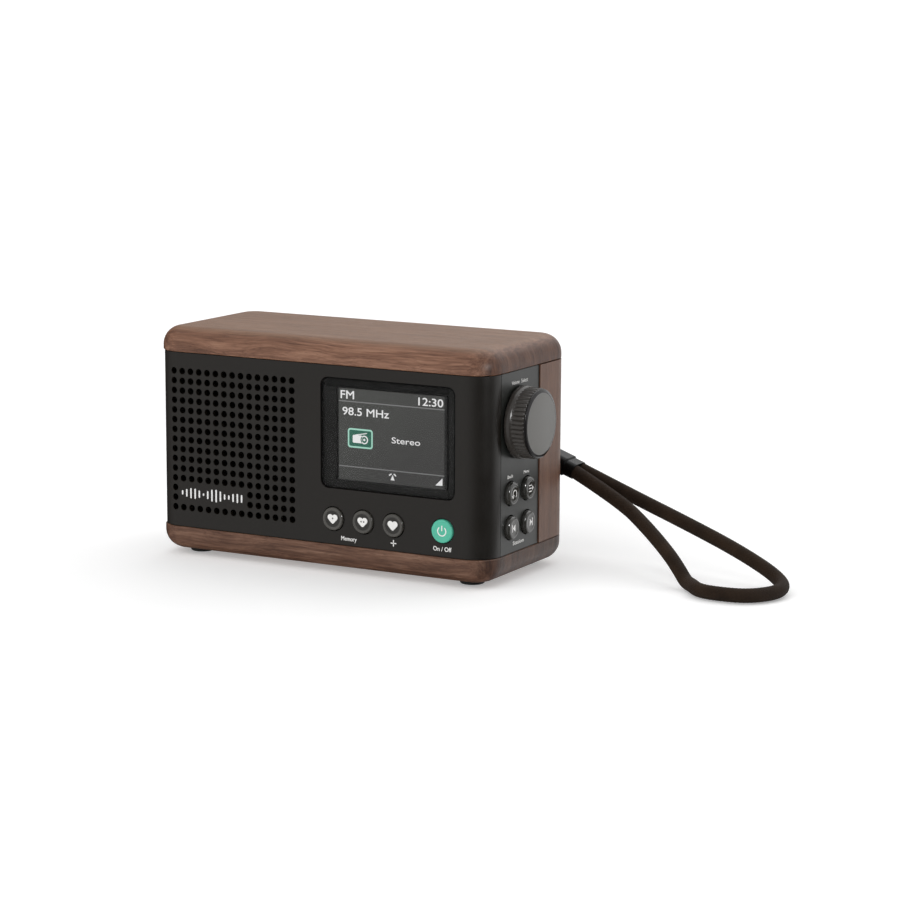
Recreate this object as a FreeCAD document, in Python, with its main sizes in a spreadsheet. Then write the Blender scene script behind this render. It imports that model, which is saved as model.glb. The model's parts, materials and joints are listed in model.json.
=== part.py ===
import FreeCAD, Part
import math
import os

import Sketcher
from FreeCAD import Placement, Rotation, Vector

# Digital portable radio with a wooden top and base, a perforated front, a control panel on
# its right side, a folded aerial on its back and a wrist strap on a stud.
#
# Millimetres. +X runs to the right of the front, +Y from the front to the back, +Z up.
# Each place below is given from the middle of the case, on the ground. The document's origin
# lies under the middle of the whole outline, knob and strap stud included, so place() shifts
# every sub-part from the case's middle to that origin.

doc = FreeCAD.newDocument("PortableRadio")

# ---------------------------------------------------------------- driving dimensions

DIMENSIONS = {
    # case
    "case_width": 157.2,
    "case_depth": 71.0,
    "band_base": 12.5,
    "band_height": 73.1,
    "band_corner": 11.0,
    "seam": 0.3,
    "panel_wall": 3.0,
    "wood_wall": 4.0,
    "wood_proud": 0.5,
    "cap_thickness": 9.9,
    "cap_rounding": 7.8,
    "base_thickness": 10.3,
    "front_panel_back": -24.6,
    "side_panel_back": 8.4,
    # feet and chassis
    "foot_height": 1.9,
    "foot_radius": 5.0,
    "foot_recess": 1.5,
    "foot_inset_x": 13.9,
    "foot_inset_y": 13.65,
    "chassis_thickness": 2.2,
    "screw_x": 45.0,
    "screw_y": 18.0,
    "screw_radius": 1.5,
    # grille and speaker
    "hole_pitch": 4.1,
    "hole_radius": 1.42,
    "grille_left": -69.0,
    "grille_bottom": 20.5,
    "speaker_radius": 28.5,
    "speaker_frame_width": 56.0,
    "speaker_frame_height": 66.0,
    "speaker_screw_x": 22.55,
    "speaker_screw_z": 31.0,
    "cloth_left": -67.3,
    "cloth_width": 57.8,
    "cloth_height": 59.4,
    # display
    "display_x": 33.0,
    "display_z": 58.1,
    "display_width": 62.0,
    "display_height": 45.5,
    "display_corner": 3.5,
    "picture_width": 47.8,
    "picture_shift": 0.95,
    "picture_height": 37.0,
    "window_thickness": 1.3,
    # push buttons
    "front_button_z": 22.9,
    "front_button_radius": 4.75,
    "front_button_proud": 1.0,
    "side_button_radius": 4.8,
    "side_button_proud": 2.0,
    "side_button_low": 22.9,
    "side_button_high": 36.8,
    "side_button_near": -16.1,
    "side_button_far": -1.9,
    "button_gap": 0.4,
    "button_travel": 0.8,
    "button_flange": 1.2,
    "button_flange_reach": 1.3,
    "button_stem": 1.5,
    "switch_height": 3.2,
    "board_thickness": 1.6,
    # knob
    "controls_y": -9.0,
    "knob_z": 64.75,
    "knob_radius": 14.2,
    "knob_flange_radius": 14.8,
    "knob_flange": 3.2,
    "knob_gap": 0.6,
    "knob_reach": 10.0,
    "knob_cap_radius": 13.9,
    "knob_cap": 1.2,
    "knob_cap_bevel": 1.25,
    "knob_cap_bevel_depth": 0.45,
    "knurl_start": 3.8,
    "knurl_depth": 0.5,
    "knurl_half_width": 0.7,
    "shaft_radius": 3.0,
    # back
    "back_opening_width": 132.0,
    "back_opening_height": 62.0,
    "back_panel_face": 35.8,
    "bay_x": -27.0,
    "bay_z": 41.0,
    "bay_width": 70.0,
    "bay_height": 40.0,
    "bay_floor_y": 11.0,
    "bay_wall": 1.6,
    "door_thickness": 2.5,
    "door_gap": 0.35,
    "usb_x": 27.0,
    "usb_z": 26.6,
    "usb_width": 9.0,
    "usb_height": 3.2,
    "jack_x": 43.0,
    "jack_z": 28.0,
    "jack_radius": 1.8,
    "jack_length": 12.0,
    "battery_length": 65.0,
    "battery_depth": 18.6,
    "battery_height": 37.0,
    # aerial
    "aerial_x": 57.0,
    "aerial_y": 42.8,
    "aerial_z": 71.0,
    "aerial_tube_radius": 3.0,
    "aerial_step": 0.6,
    "aerial_wall": 0.3,
    "aerial_tube_length": 98.0,
    # strap
    "strap_x": 60.0,
    "strap_y": 43.5,
    "strap_z": 43.7,
    "strap_slope": 19.8,
    "cord_diameter": 5.8,
    "cord_spread": 6.1,
    "ferrule_start": 7.5,
    "ferrule_shoulder": 16.6,
    "ferrule_end": 20.6,
    "ferrule_width": 12.6,
    "ferrule_height": 7.8,
    "ferrule_corner": 3.4,
    "ferrule_eye": 4.0,
    "ferrule_tongue": 6.0,
}

sheet = doc.addObject("Spreadsheet::Sheet", "Dims")
for row, (alias, number) in enumerate(DIMENSIONS.items(), start=1):
    sheet.set(f"A{row}", alias)
    sheet.set(f"B{row}", str(number))
    sheet.setAlias(f"B{row}", alias)
doc.recompute()


class Size:
    """A length, kept both as a number and as the formula over the sheet that gives it."""

    def __init__(self, number, formula):
        self.number = number
        self.formula = formula

    def __float__(self):
        return self.number

    def __neg__(self):
        return Size(-self.number, f"(-{self.formula})")

    def __add__(self, other):
        other = as_size(other)
        return Size(self.number + other.number, f"({self.formula} + {other.formula})")

    def __sub__(self, other):
        return self + (-as_size(other))

    def __mul__(self, factor):
        return Size(self.number * factor, f"({self.formula} * {factor})")

    def __truediv__(self, divisor):
        return Size(self.number / divisor, f"({self.formula} / {divisor})")

    __radd__ = __add__
    __rmul__ = __mul__

    def __rsub__(self, other):
        return as_size(other) - self


def as_size(value):
    return value if isinstance(value, Size) else Size(float(value), f"({float(value)})")


class Sheet:
    """The sheet's cells as Size values, by alias."""

    def __getattr__(self, alias):
        return Size(float(sheet.get(alias)), f"Dims.{alias}")


d = Sheet()

BAND_TOP = d.band_base + d.band_height
HALF_WIDTH = d.case_width / 2
HALF_DEPTH = d.case_depth / 2
FRONT_INSIDE = -HALF_DEPTH + d.panel_wall
SIDE_INSIDE = HALF_WIDTH - d.panel_wall
STRAP_HEAD = 48.4

# The whole outline runs from the wood on the left to the knob on the right, and from the
# front buttons to the head of the strap stud.
SHIFT_X = (d.wood_proud - d.knob_reach) / 2
SHIFT_Y = (HALF_DEPTH + d.front_button_proud - STRAP_HEAD) / 2

OUT_FRONT = Rotation(Vector(1, 0, 0), 90)
OUT_BACK = Rotation(Vector(1, 0, 0), -90)
OUT_RIGHT = Rotation(Vector(0, 1, 0), 90)
OUT_LEFT = Rotation(Vector(0, 1, 0), -90)
UPRIGHT = Rotation()

sub_parts = []


# ---------------------------------------------------------------- building helpers

def bind(obj, path, size):
    obj.setExpression(path, as_size(size).formula)


def place(obj, x, y, z, turn=UPRIGHT):
    """Puts a sub-part at a place given from the case's middle."""
    spot = {"x": x + SHIFT_X, "y": y + SHIFT_Y, "z": as_size(z)}
    obj.Placement = Placement(Vector(*[float(size) for size in spot.values()]), turn)
    for axis, size in spot.items():
        bind(obj, f"Placement.Base.{axis}", size)


def keep(obj, label):
    """Registers a finished sub-part under its own name."""
    obj.Label = label
    sub_parts.append(obj)
    return obj


def new_body(label):
    return doc.addObject("PartDesign::Body", f"{label}_body")


def new_sketch(body, role, offset=0):
    """A sketch on one of the body's own origin planes, moved along the plane's normal."""
    sketch = body.newObject("Sketcher::SketchObject", f"{body.Name}_sketch")
    plane = next(item for item in body.Origin.OriginFeatures if item.Role == role)
    sketch.AttachmentSupport = (plane, "")
    sketch.MapMode = "FlatFace"
    sketch.AttachmentOffset = Placement(Vector(0, 0, float(offset)), Rotation())
    bind(sketch, "AttachmentOffset.Base.z", offset)
    return sketch


def constrain(sketch, kind, *arguments):
    return sketch.addConstraint(Sketcher.Constraint(kind, *arguments))


def measure(sketch, kind, *arguments):
    """Adds a dimension whose value, the last argument, follows the sheet."""
    size = as_size(arguments[-1])
    index = constrain(sketch, kind, *arguments[:-1], float(size))
    bind(sketch, f"Constraints[{index}]", size)


def pin_point(sketch, geometry, point, x, y):
    measure(sketch, "DistanceX", -1, 1, geometry, point, x)
    measure(sketch, "DistanceY", -1, 1, geometry, point, y)


def draw_circle(sketch, x, y, radius):
    circle = Part.Circle(Vector(float(x), float(y), 0), Vector(0, 0, 1), float(radius))
    index = sketch.addGeometry(circle)
    measure(sketch, "Radius", index, radius)
    pin_point(sketch, index, 3, x, y)


def draw_polygon(sketch, corners):
    """A closed outline of straight edges through the corners."""
    points = [Vector(float(x), float(y), 0) for x, y in corners]
    lines = [Part.LineSegment(points[i], points[(i + 1) % len(points)]) for i in range(len(points))]
    indices = sketch.addGeometry(lines)
    for i, index in enumerate(indices):
        constrain(sketch, "Coincident", index, 2, indices[(i + 1) % len(indices)], 1)
        pin_point(sketch, index, 1, *corners[i])


def draw_rectangle(sketch, x0, x1, y0, y1):
    draw_polygon(sketch, [(x0, y0), (x1, y0), (x1, y1), (x0, y1)])


def draw_rounded_rectangle(sketch, x, y, width, height, radius):
    """A rectangle about (x, y) with equal round corners."""
    half_w, half_h, r = float(width) / 2, float(height) / 2, float(radius)
    cx, cy = float(x), float(y)
    sides = []
    corners = []
    for turn in range(4):
        angle = turn * math.pi / 2
        along = Vector(math.cos(angle), math.sin(angle), 0)
        out = Vector(math.sin(angle), -math.cos(angle), 0)
        reach = half_h if turn % 2 == 0 else half_w
        run = (half_w if turn % 2 == 0 else half_h) - r
        middle = Vector(cx, cy, 0) + out * reach
        sides.append(sketch.addGeometry(Part.LineSegment(middle - along * run, middle + along * run)))
        arc_centre = middle + along * run - out * r
        circle = Part.Circle(arc_centre, Vector(0, 0, 1), r)
        arc = Part.ArcOfCircle(circle, angle - math.pi / 2, angle)
        corners.append(sketch.addGeometry(arc))
    for turn in range(4):
        constrain(sketch, "Tangent", sides[turn], 2, corners[turn], 1)
        constrain(sketch, "Tangent", corners[turn], 2, sides[(turn + 1) % 4], 1)
        constrain(sketch, "Horizontal" if turn % 2 == 0 else "Vertical", sides[turn])
    for corner in corners[1:]:
        constrain(sketch, "Equal", corners[0], corner)
    measure(sketch, "Radius", corners[0], radius)
    measure(sketch, "DistanceX", sides[3], 1, sides[1], 1, width)
    measure(sketch, "DistanceY", sides[0], 1, sides[2], 1, height)
    measure(sketch, "DistanceX", -1, 1, sides[3], 1, x - width / 2)
    measure(sketch, "DistanceY", -1, 1, sides[0], 1, y - height / 2)


def pad(body, sketch, length, backwards=False):
    feature = body.newObject("PartDesign::Pad", f"{body.Name}_pad")
    feature.Profile = sketch
    feature.Length = float(length)
    feature.Reversed = backwards
    bind(feature, "Length", length)
    doc.recompute()
    return feature


def pocket(body, sketch, depth=None, backwards=False):
    """Cuts the sketch's outline to a depth, or right through when no depth is given."""
    before = body.Shape.Volume
    feature = body.newObject("PartDesign::Pocket", f"{body.Name}_pocket")
    feature.Profile = sketch
    if depth is None:
        feature.Type = "ThroughAll"
        feature.Midplane = True
    else:
        feature.Length = float(depth)
        feature.Reversed = backwards
        bind(feature, "Length", depth)
    doc.recompute()
    if body.Shape.Volume > before - 0.01:
        raise RuntimeError(f"{body.Name}: a pocket removes nothing")
    return feature


def fillet(body, radius, wanted, chamfered=False):
    """Rounds or bevels the edges that the test picks."""
    base = body.Tip
    names = [f"Edge{i}" for i, edge in enumerate(base.Shape.Edges, start=1) if wanted(edge)]
    kind, size = ("Chamfer", "Size") if chamfered else ("Fillet", "Radius")
    feature = body.newObject(f"PartDesign::{kind}", f"{body.Name}_{kind.lower()}")
    feature.Base = (base, names)
    setattr(feature, size, float(radius))
    bind(feature, size, radius)
    doc.recompute()
    return feature


def revolve(body, sketch):
    feature = body.newObject("PartDesign::Revolution", f"{body.Name}_turned")
    feature.Profile = sketch
    feature.ReferenceAxis = (sketch, ["V_Axis"])
    feature.Angle = 360
    doc.recompute()
    return feature


def turned_body(label, corners):
    """A body turned about its own Z from (radius, height) corners."""
    body = new_body(label)
    sketch = new_sketch(body, "XZ_Plane")
    draw_polygon(sketch, corners)
    revolve(body, sketch)
    return body


def at_height(z, tolerance=0.01):
    """A test for edges that lie in the plane at this height of the body's own frame."""
    def test(edge):
        box = edge.BoundBox
        return abs(box.ZMin - float(z)) < tolerance and abs(box.ZMax - float(z)) < tolerance
    return test


def make_box(label, width, depth, height):
    box = doc.addObject("Part::Box", f"{label}_box")
    for side, size in (("Length", width), ("Width", depth), ("Height", height)):
        setattr(box, side, float(size))
        bind(box, side, size)
    return box


def box_at(label, x, y, z, width, depth, height):
    """A box whose x and z are its middle, and whose y is its front."""
    box = make_box(label, width, depth, height)
    place(box, x - as_size(width) / 2, as_size(y), z - as_size(height) / 2)
    return box


def rod_at(label, x, y, z, radius, length, turn):
    rod = doc.addObject("Part::Cylinder", f"{label}_rod")
    rod.Radius = float(radius)
    rod.Height = float(length)
    bind(rod, "Radius", radius)
    bind(rod, "Height", length)
    place(rod, as_size(x), as_size(y), as_size(z), turn)
    return rod


def fuse(label, pieces):
    joined = doc.addObject("Part::MultiFuse", f"{label}_joined")
    joined.Shapes = pieces
    return joined


def cut(label, base, tool):
    result = doc.addObject("Part::Cut", f"{label}_cut")
    result.Base = base
    result.Tool = tool
    return result


# ---------------------------------------------------------------- wooden case

def slab(label, thickness):
    """A plank with the case's plan outline, standing proud of the band all round."""
    body = new_body(label)
    outline = new_sketch(body, "XY_Plane")
    proud = d.wood_proud * 2
    corner = d.band_corner + d.wood_proud
    draw_rounded_rectangle(outline, as_size(0), as_size(0), d.case_width + proud,
                           d.case_depth + proud, corner)
    pad(body, outline, thickness)
    return body


def top_cap():
    body = slab("top_cap", d.cap_thickness)
    fillet(body, d.cap_rounding, at_height(d.cap_thickness))
    fillet(body, 0.3, at_height(0), chamfered=True)
    place(body, 0, 0, BAND_TOP + d.seam)
    keep(body, "top_cap")


def foot_places():
    reach_x = HALF_WIDTH - d.foot_inset_x
    reach_y = HALF_DEPTH - d.foot_inset_y
    return [(reach_x * i, reach_y * j) for i in (-1, 1) for j in (-1, 1)]


def screw_places():
    return [(d.screw_x * i, d.screw_y * j) for i in (-1, 1) for j in (-1, 1)]


def bottom_cap():
    body = slab("bottom_cap", d.base_thickness)
    fillet(body, d.cap_rounding, at_height(0))
    fillet(body, 0.3, at_height(d.base_thickness), chamfered=True)
    recesses = new_sketch(body, "XY_Plane")
    for x, y in foot_places():
        draw_circle(recesses, x, y, d.foot_radius + 0.15)
    pocket(body, recesses, d.foot_recess, backwards=True)
    counterbores = new_sketch(body, "XY_Plane")
    shanks = new_sketch(body, "XY_Plane")
    for x, y in screw_places():
        draw_circle(counterbores, x, y, d.screw_radius * 2.1)
        draw_circle(shanks, x, y, d.screw_radius + 0.2)
    pocket(body, counterbores, 4.0, backwards=True)
    pocket(body, shanks)
    place(body, 0, 0, d.foot_height)
    keep(body, "bottom_cap")


def rubber_feet():
    feet = []
    height = d.foot_height + d.foot_recess
    for x, y in foot_places():
        body = turned_body("foot", [(0, 0), (d.foot_radius, 0), (d.foot_radius, height), (0, height)])
        fillet(body, 0.6, at_height(0))
        place(body, x, y, 0)
        feet.append(body)
    keep(fuse("rubber_feet", feet), "rubber_feet")


def case_screws():
    """Pan-head screws that hold the base plank to the chassis."""
    screws = []
    head = d.screw_radius * 1.9
    for x, y in screw_places():
        body = turned_body("case_screw", [
            (0, 0), (head, 0), (head, 2.0), (d.screw_radius, 2.0), (d.screw_radius, 13.0), (0, 13.0)])
        slot = new_sketch(body, "XY_Plane")
        draw_rectangle(slot, -d.screw_radius, d.screw_radius, -0.35, 0.35)
        pocket(body, slot, 0.8, backwards=True)
        place(body, x, y, d.foot_height + 2.0)
        screws.append(body)
    keep(fuse("case_screws", screws), "case_screws")


# ---------------------------------------------------------------- band round the case

def band_ring(label, wall, proud):
    """A ring with the case's plan outline, as high as the band."""
    body = new_body(label)
    outside = new_sketch(body, "XY_Plane")
    draw_rounded_rectangle(outside, as_size(0), as_size(0), d.case_width + proud * 2,
                           d.case_depth + proud * 2, d.band_corner + proud)
    pad(body, outside, d.band_height)
    inside = new_sketch(body, "XY_Plane")
    draw_rounded_rectangle(inside, as_size(0), as_size(0), d.case_width - wall * 2,
                           d.case_depth - wall * 2, d.band_corner - wall)
    pocket(body, inside)
    return body


def trim(body, x0, x1, y0, y1):
    """Takes away everything over this rectangle of the plan."""
    sketch = new_sketch(body, "XY_Plane")
    draw_rectangle(sketch, as_size(x0), as_size(x1), as_size(y0), as_size(y1))
    pocket(body, sketch)


BEYOND_X = d.case_width
BEYOND_Y = d.case_depth
FRONT_BUTTONS = {"preset_button_1": 8.0, "preset_button_2": 22.0, "preset_button_3": 36.0,
                 "standby_button": 58.5}
GRILLE_COUNT = 15
BADGE_COLUMNS = range(1, 9)
BADGE_ROWS = range(1, 3)


def grille_rows(body, columns, first_row, rows):
    """Cuts one row of holes through the front and repeats it upwards."""
    sketch = new_sketch(body, "XZ_Plane")
    height = d.grille_bottom + d.hole_pitch * first_row - d.band_base
    for column in columns:
        draw_circle(sketch, d.grille_left + d.hole_pitch * column, height, d.hole_radius)
    row = pocket(body, sketch)
    if rows > 1:
        repeat = body.newObject("PartDesign::LinearPattern", "grille_rows")
        repeat.Originals = [row]
        repeat.Direction = (sketch, ["V_Axis"])
        repeat.Length = float(d.hole_pitch) * (rows - 1)
        bind(repeat, "Length", d.hole_pitch * (rows - 1))
        repeat.Occurrences = rows
        body.Tip = repeat
        doc.recompute()


def speaker_centre():
    middle = (GRILLE_COUNT - 1) / 2
    return d.grille_left + d.hole_pitch * middle, d.grille_bottom + d.hole_pitch * middle


def speaker_screw_offsets():
    """The four screws, from the speaker's axis, in the plain strips above and below the holes."""
    return [(d.speaker_screw_x * i, d.speaker_screw_z * j) for i in (-1, 1) for j in (-1, 1)]


def speaker_screw_places():
    x, z = speaker_centre()
    return [(x + across, z + up) for across, up in speaker_screw_offsets()]


def front_panel():
    body = band_ring("front_panel", d.panel_wall, as_size(0))
    trim(body, -BEYOND_X, BEYOND_X, d.front_panel_back, BEYOND_Y)
    openings = new_sketch(body, "XZ_Plane")
    draw_rounded_rectangle(openings, d.display_x, d.display_z - d.band_base,
                           d.display_width, d.display_height, d.display_corner)
    for x in FRONT_BUTTONS.values():
        draw_circle(openings, x, d.front_button_z - d.band_base, d.front_button_radius + d.button_gap)
    pocket(body, openings)
    beside_badge = [column for column in range(GRILLE_COUNT) if column not in BADGE_COLUMNS]
    badge_end = BADGE_ROWS.stop
    grille_rows(body, range(GRILLE_COUNT), 0, BADGE_ROWS.start)
    grille_rows(body, beside_badge, BADGE_ROWS.start, len(BADGE_ROWS))
    grille_rows(body, range(GRILLE_COUNT), badge_end, GRILLE_COUNT - badge_end)
    pilots = new_sketch(body, "XZ_Plane", -FRONT_INSIDE)
    for x, z in speaker_screw_places():
        draw_circle(pilots, x, z - d.band_base, as_size(1.1))
    pocket(body, pilots, 2.0, backwards=True)
    place(body, 0, 0, d.band_base)
    keep(body, "front_panel")


def side_panel(label, side):
    """The dark panel between the front panel's corner and the wood, on one side of the case."""
    body = band_ring(label, d.panel_wall, as_size(0))
    trim(body, -BEYOND_X, BEYOND_X, -BEYOND_Y, d.front_panel_back + d.seam)
    trim(body, -BEYOND_X, BEYOND_X, d.side_panel_back - d.seam, BEYOND_Y)
    if side > 0:
        trim(body, -BEYOND_X, as_size(0), -BEYOND_Y, BEYOND_Y)
        holes = new_sketch(body, "YZ_Plane")
        draw_circle(holes, d.controls_y, d.knob_z - d.band_base, d.shaft_radius + 2.0)
        for _, y, z in side_button_places():
            draw_circle(holes, y, z - d.band_base, d.side_button_radius + d.button_gap)
        pocket(body, holes)
    else:
        trim(body, as_size(0), BEYOND_X, -BEYOND_Y, BEYOND_Y)
    place(body, 0, 0, d.band_base)
    keep(body, label)


def rear_surround():
    """The wooden rear of the band, with a window for the back panel."""
    body = band_ring("rear_surround", d.wood_wall, d.wood_proud)
    trim(body, -BEYOND_X, BEYOND_X, -BEYOND_Y, d.side_panel_back)
    window = new_sketch(body, "XZ_Plane")
    draw_rounded_rectangle(window, as_size(0), d.band_height / 2, d.back_opening_width,
                           d.back_opening_height, as_size(5.0))
    pocket(body, window)
    place(body, 0, 0, d.band_base)
    keep(body, "rear_surround")


# ---------------------------------------------------------------- back of the case

PEG_RADIUS = 0.8
DOOR_AXIS_Y = d.back_panel_face - d.door_thickness / 2
DOOR_AXIS_Z = d.bay_z - d.bay_height / 2 + d.door_gap + d.door_thickness / 2


def back_panel():
    body = new_body("back_panel")
    middle_z = BAND_TOP / 2 + d.band_base / 2
    face = new_sketch(body, "XZ_Plane", -d.back_panel_face)
    gap = d.seam * 2
    draw_rounded_rectangle(face, as_size(0), middle_z, d.back_opening_width - gap,
                           d.back_opening_height - gap, as_size(4.7))
    pad(body, face, 4.4)
    flange = new_sketch(body, "XZ_Plane", 4.4 - d.back_panel_face)
    draw_rounded_rectangle(flange, as_size(0), middle_z, d.back_opening_width + 4,
                           d.back_opening_height + 4, as_size(6.0))
    pad(body, flange, 1.6)
    holes = new_sketch(body, "XZ_Plane")
    draw_rounded_rectangle(holes, d.bay_x, d.bay_z, d.bay_width, d.bay_height, as_size(0.8))
    draw_rounded_rectangle(holes, d.usb_x, d.usb_z, d.usb_width + 0.8, d.usb_height + 0.8, as_size(1.8))
    draw_circle(holes, d.jack_x, d.jack_z, as_size(3.3))
    draw_circle(holes, d.aerial_x, d.aerial_z, as_size(2.9))
    pocket(body, holes)
    pegs = new_sketch(body, "YZ_Plane", d.bay_x - d.bay_width / 2 - 2.2)
    draw_circle(pegs, DOOR_AXIS_Y, DOOR_AXIS_Z, as_size(PEG_RADIUS + 0.25))
    pocket(body, pegs, d.bay_width + 4.4, backwards=True)
    place(body, 0, 0, 0)
    keep(body, "back_panel")


def battery_door():
    """A flap with a round lower edge on its pegs' axis, and a thumb notch at the top."""
    width = d.bay_width - d.door_gap * 2
    height = d.bay_z + d.bay_height / 2 - d.door_gap - DOOR_AXIS_Z
    body = new_body("battery_door")
    section = new_sketch(body, "YZ_Plane", -width / 2)
    half = d.door_thickness / 2
    draw_rectangle(section, -half, half, as_size(0), height)
    pad(body, section, width)
    edge = new_sketch(body, "YZ_Plane", -width / 2)
    draw_circle(edge, as_size(0), as_size(0), half)
    pad(body, edge, width)
    pegs = new_sketch(body, "YZ_Plane", -width / 2 - 1.8)
    draw_circle(pegs, as_size(0), as_size(0), as_size(PEG_RADIUS))
    pad(body, pegs, width + 3.6)
    notch = new_sketch(body, "XZ_Plane", -half)
    draw_rounded_rectangle(notch, as_size(0), height - 4.0, as_size(14.0), as_size(4.4), as_size(2.1))
    pocket(body, notch, 1.0, backwards=True)
    place(body, d.bay_x, DOOR_AXIS_Y, DOOR_AXIS_Z)
    keep(body, "battery_door")


def battery_bay():
    """An open tray that stands against the inside of the back panel."""
    mouth = d.back_panel_face - 6.0
    depth = mouth - d.bay_floor_y
    wall = d.bay_wall
    body = new_body("battery_bay")
    outside = new_sketch(body, "XZ_Plane", -mouth)
    draw_rectangle(outside, -d.bay_width / 2 - wall, d.bay_width / 2 + wall,
                   -d.bay_height / 2 - wall, d.bay_height / 2 + wall)
    pad(body, outside, depth)
    inside = new_sketch(body, "XZ_Plane", -mouth)
    draw_rectangle(inside, -d.bay_width / 2, d.bay_width / 2, -d.bay_height / 2, d.bay_height / 2)
    pocket(body, inside, depth - wall, backwards=True)
    place(body, d.bay_x, 0, d.bay_z)
    keep(body, "battery_bay")


def battery_pack():
    """Two cells side by side in one wrap."""
    body = new_body("battery_pack")
    section = new_sketch(body, "YZ_Plane", -d.battery_length / 2)
    draw_rounded_rectangle(section, as_size(0), as_size(0), d.battery_depth, d.battery_height, as_size(9.0))
    pad(body, section, d.battery_length)
    fillet(body, 0.8, lambda edge: edge.BoundBox.XLength < 0.01)
    place(body, d.bay_x - 0.8, d.bay_floor_y + d.bay_wall + 0.3 + d.battery_depth / 2, d.bay_z)
    keep(body, "battery_pack")


def battery_contacts():
    blades = []
    x = d.bay_x + d.bay_width / 2 - 0.8
    for row in (-1, 0, 1):
        blades.append(box_at("contact", x, d.bay_floor_y + 6.0, d.bay_z + row * 9.0, 1.0, 9.0, 4.0))
    keep(fuse("battery_contacts", blades), "battery_contacts")


# ---------------------------------------------------------------- chassis and boards

def chassis_plate(label, z):
    """A plate that fits inside the band's walls."""
    body = new_body(label)
    outline = new_sketch(body, "XY_Plane")
    wall = d.wood_wall * 2 + 0.6
    draw_rounded_rectangle(outline, as_size(0), as_size(0), d.case_width - wall,
                           d.case_depth - wall, d.band_corner - d.wood_wall)
    pad(body, outline, d.chassis_thickness)
    place(body, 0, 0, z)
    return body


def chassis_base():
    body = chassis_plate("chassis_base", d.band_base - d.seam)
    bosses = new_sketch(body, "XY_Plane")
    bores = new_sketch(body, "XY_Plane")
    for x, y in screw_places():
        draw_circle(bosses, x, y, d.screw_radius + 2.5)
        draw_circle(bores, x, y, d.screw_radius)
    pad(body, bosses, 6.0)
    pocket(body, bores)
    keep(body, "chassis_base")


def chassis_top():
    body = chassis_plate("chassis_top", BAND_TOP - d.chassis_thickness + d.seam)
    keep(body, "chassis_top")


def board(label, x, y, z, width, height):
    """An upright circuit board that faces the front."""
    return keep(box_at(label, x, y, z, width, d.board_thickness, height), label)


SWITCH_LINE = d.button_gap / 2 + d.button_flange + d.button_stem + d.button_travel + 0.1
FRONT_BOARD_Y = FRONT_INSIDE + SWITCH_LINE + d.switch_height
SIDE_BOARD_X = SIDE_INSIDE - SWITCH_LINE - d.switch_height - d.board_thickness
SWITCH_SIDE = 6.0
FRONT_BOARD_WIDTH = 64.0
FRONT_BOARD_HEIGHT = 12.0
SIDE_BOARD_DEPTH = 29.0
SIDE_BOARD_HEIGHT = 66.0
SIDE_BOARD_BASE = 15.5
MAIN_BOARD_X = 29.0
MAIN_BOARD_Y = -20.0
MAIN_BOARD_Z = 57.0
MAIN_BOARD_WIDTH = 66.0
MAIN_BOARD_HEIGHT = 46.0
BOARD_SCREW_X = 30.0
BOARD_SCREW_Z = 20.0
BOARD_SCREW_HEAD = 2.4
SOCKET_BOARD_WIDTH = 34.0
SOCKET_BOARD_DEPTH = 17.5

# Modules on the back of the main board: middle x, middle z, width, thickness, height.
MODULES = {
    "tuner_module": (18.0, 64.0, 22.0, 3.4, 26.0),
    "amplifier_chip": (45.0, 46.0, 9.0, 1.7, 9.0),
}


def front_keys():
    board("front_key_board", d.display_x, FRONT_BOARD_Y, d.front_button_z, FRONT_BOARD_WIDTH,
          FRONT_BOARD_HEIGHT)
    switches = []
    for x in FRONT_BUTTONS.values():
        switches.append(box_at("front_switch", as_size(x), FRONT_BOARD_Y - d.switch_height,
                               d.front_button_z, SWITCH_SIDE, d.switch_height, SWITCH_SIDE))
    keep(fuse("front_key_switches", switches), "front_key_switches")


def side_button_places():
    near = d.side_button_near
    far = d.side_button_far
    return [("back_button", near, d.side_button_high), ("menu_button", far, d.side_button_high),
            ("previous_button", near, d.side_button_low), ("next_button", far, d.side_button_low)]


def side_keys():
    plate = make_box("side_key_board", d.board_thickness, SIDE_BOARD_DEPTH, SIDE_BOARD_HEIGHT)
    place(plate, SIDE_BOARD_X, d.controls_y - SIDE_BOARD_DEPTH / 2 + 0.5, as_size(SIDE_BOARD_BASE))
    keep(plate, "side_key_board")
    switches = []
    for _, y, z in side_button_places():
        switch = make_box("side_switch", d.switch_height, SWITCH_SIDE, SWITCH_SIDE)
        place(switch, SIDE_BOARD_X + d.board_thickness, y - SWITCH_SIDE / 2, z - SWITCH_SIDE / 2)
        switches.append(switch)
    keep(fuse("side_key_switches", switches), "side_key_switches")


def main_boards():
    board("main_board", as_size(MAIN_BOARD_X), as_size(MAIN_BOARD_Y), as_size(MAIN_BOARD_Z),
          MAIN_BOARD_WIDTH, MAIN_BOARD_HEIGHT)
    rear_face = MAIN_BOARD_Y + d.board_thickness
    for label, (x, z, width, thickness, height) in MODULES.items():
        keep(box_at(label, as_size(x), rear_face, as_size(z), width, thickness, height), label)
    shelf = make_box("socket_board", SOCKET_BOARD_WIDTH, SOCKET_BOARD_DEPTH, d.board_thickness)
    place(shelf, d.usb_x - 9.0, as_size(12.0), d.usb_z - d.usb_height / 2 - d.board_thickness)
    keep(shelf, "socket_board")


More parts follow.
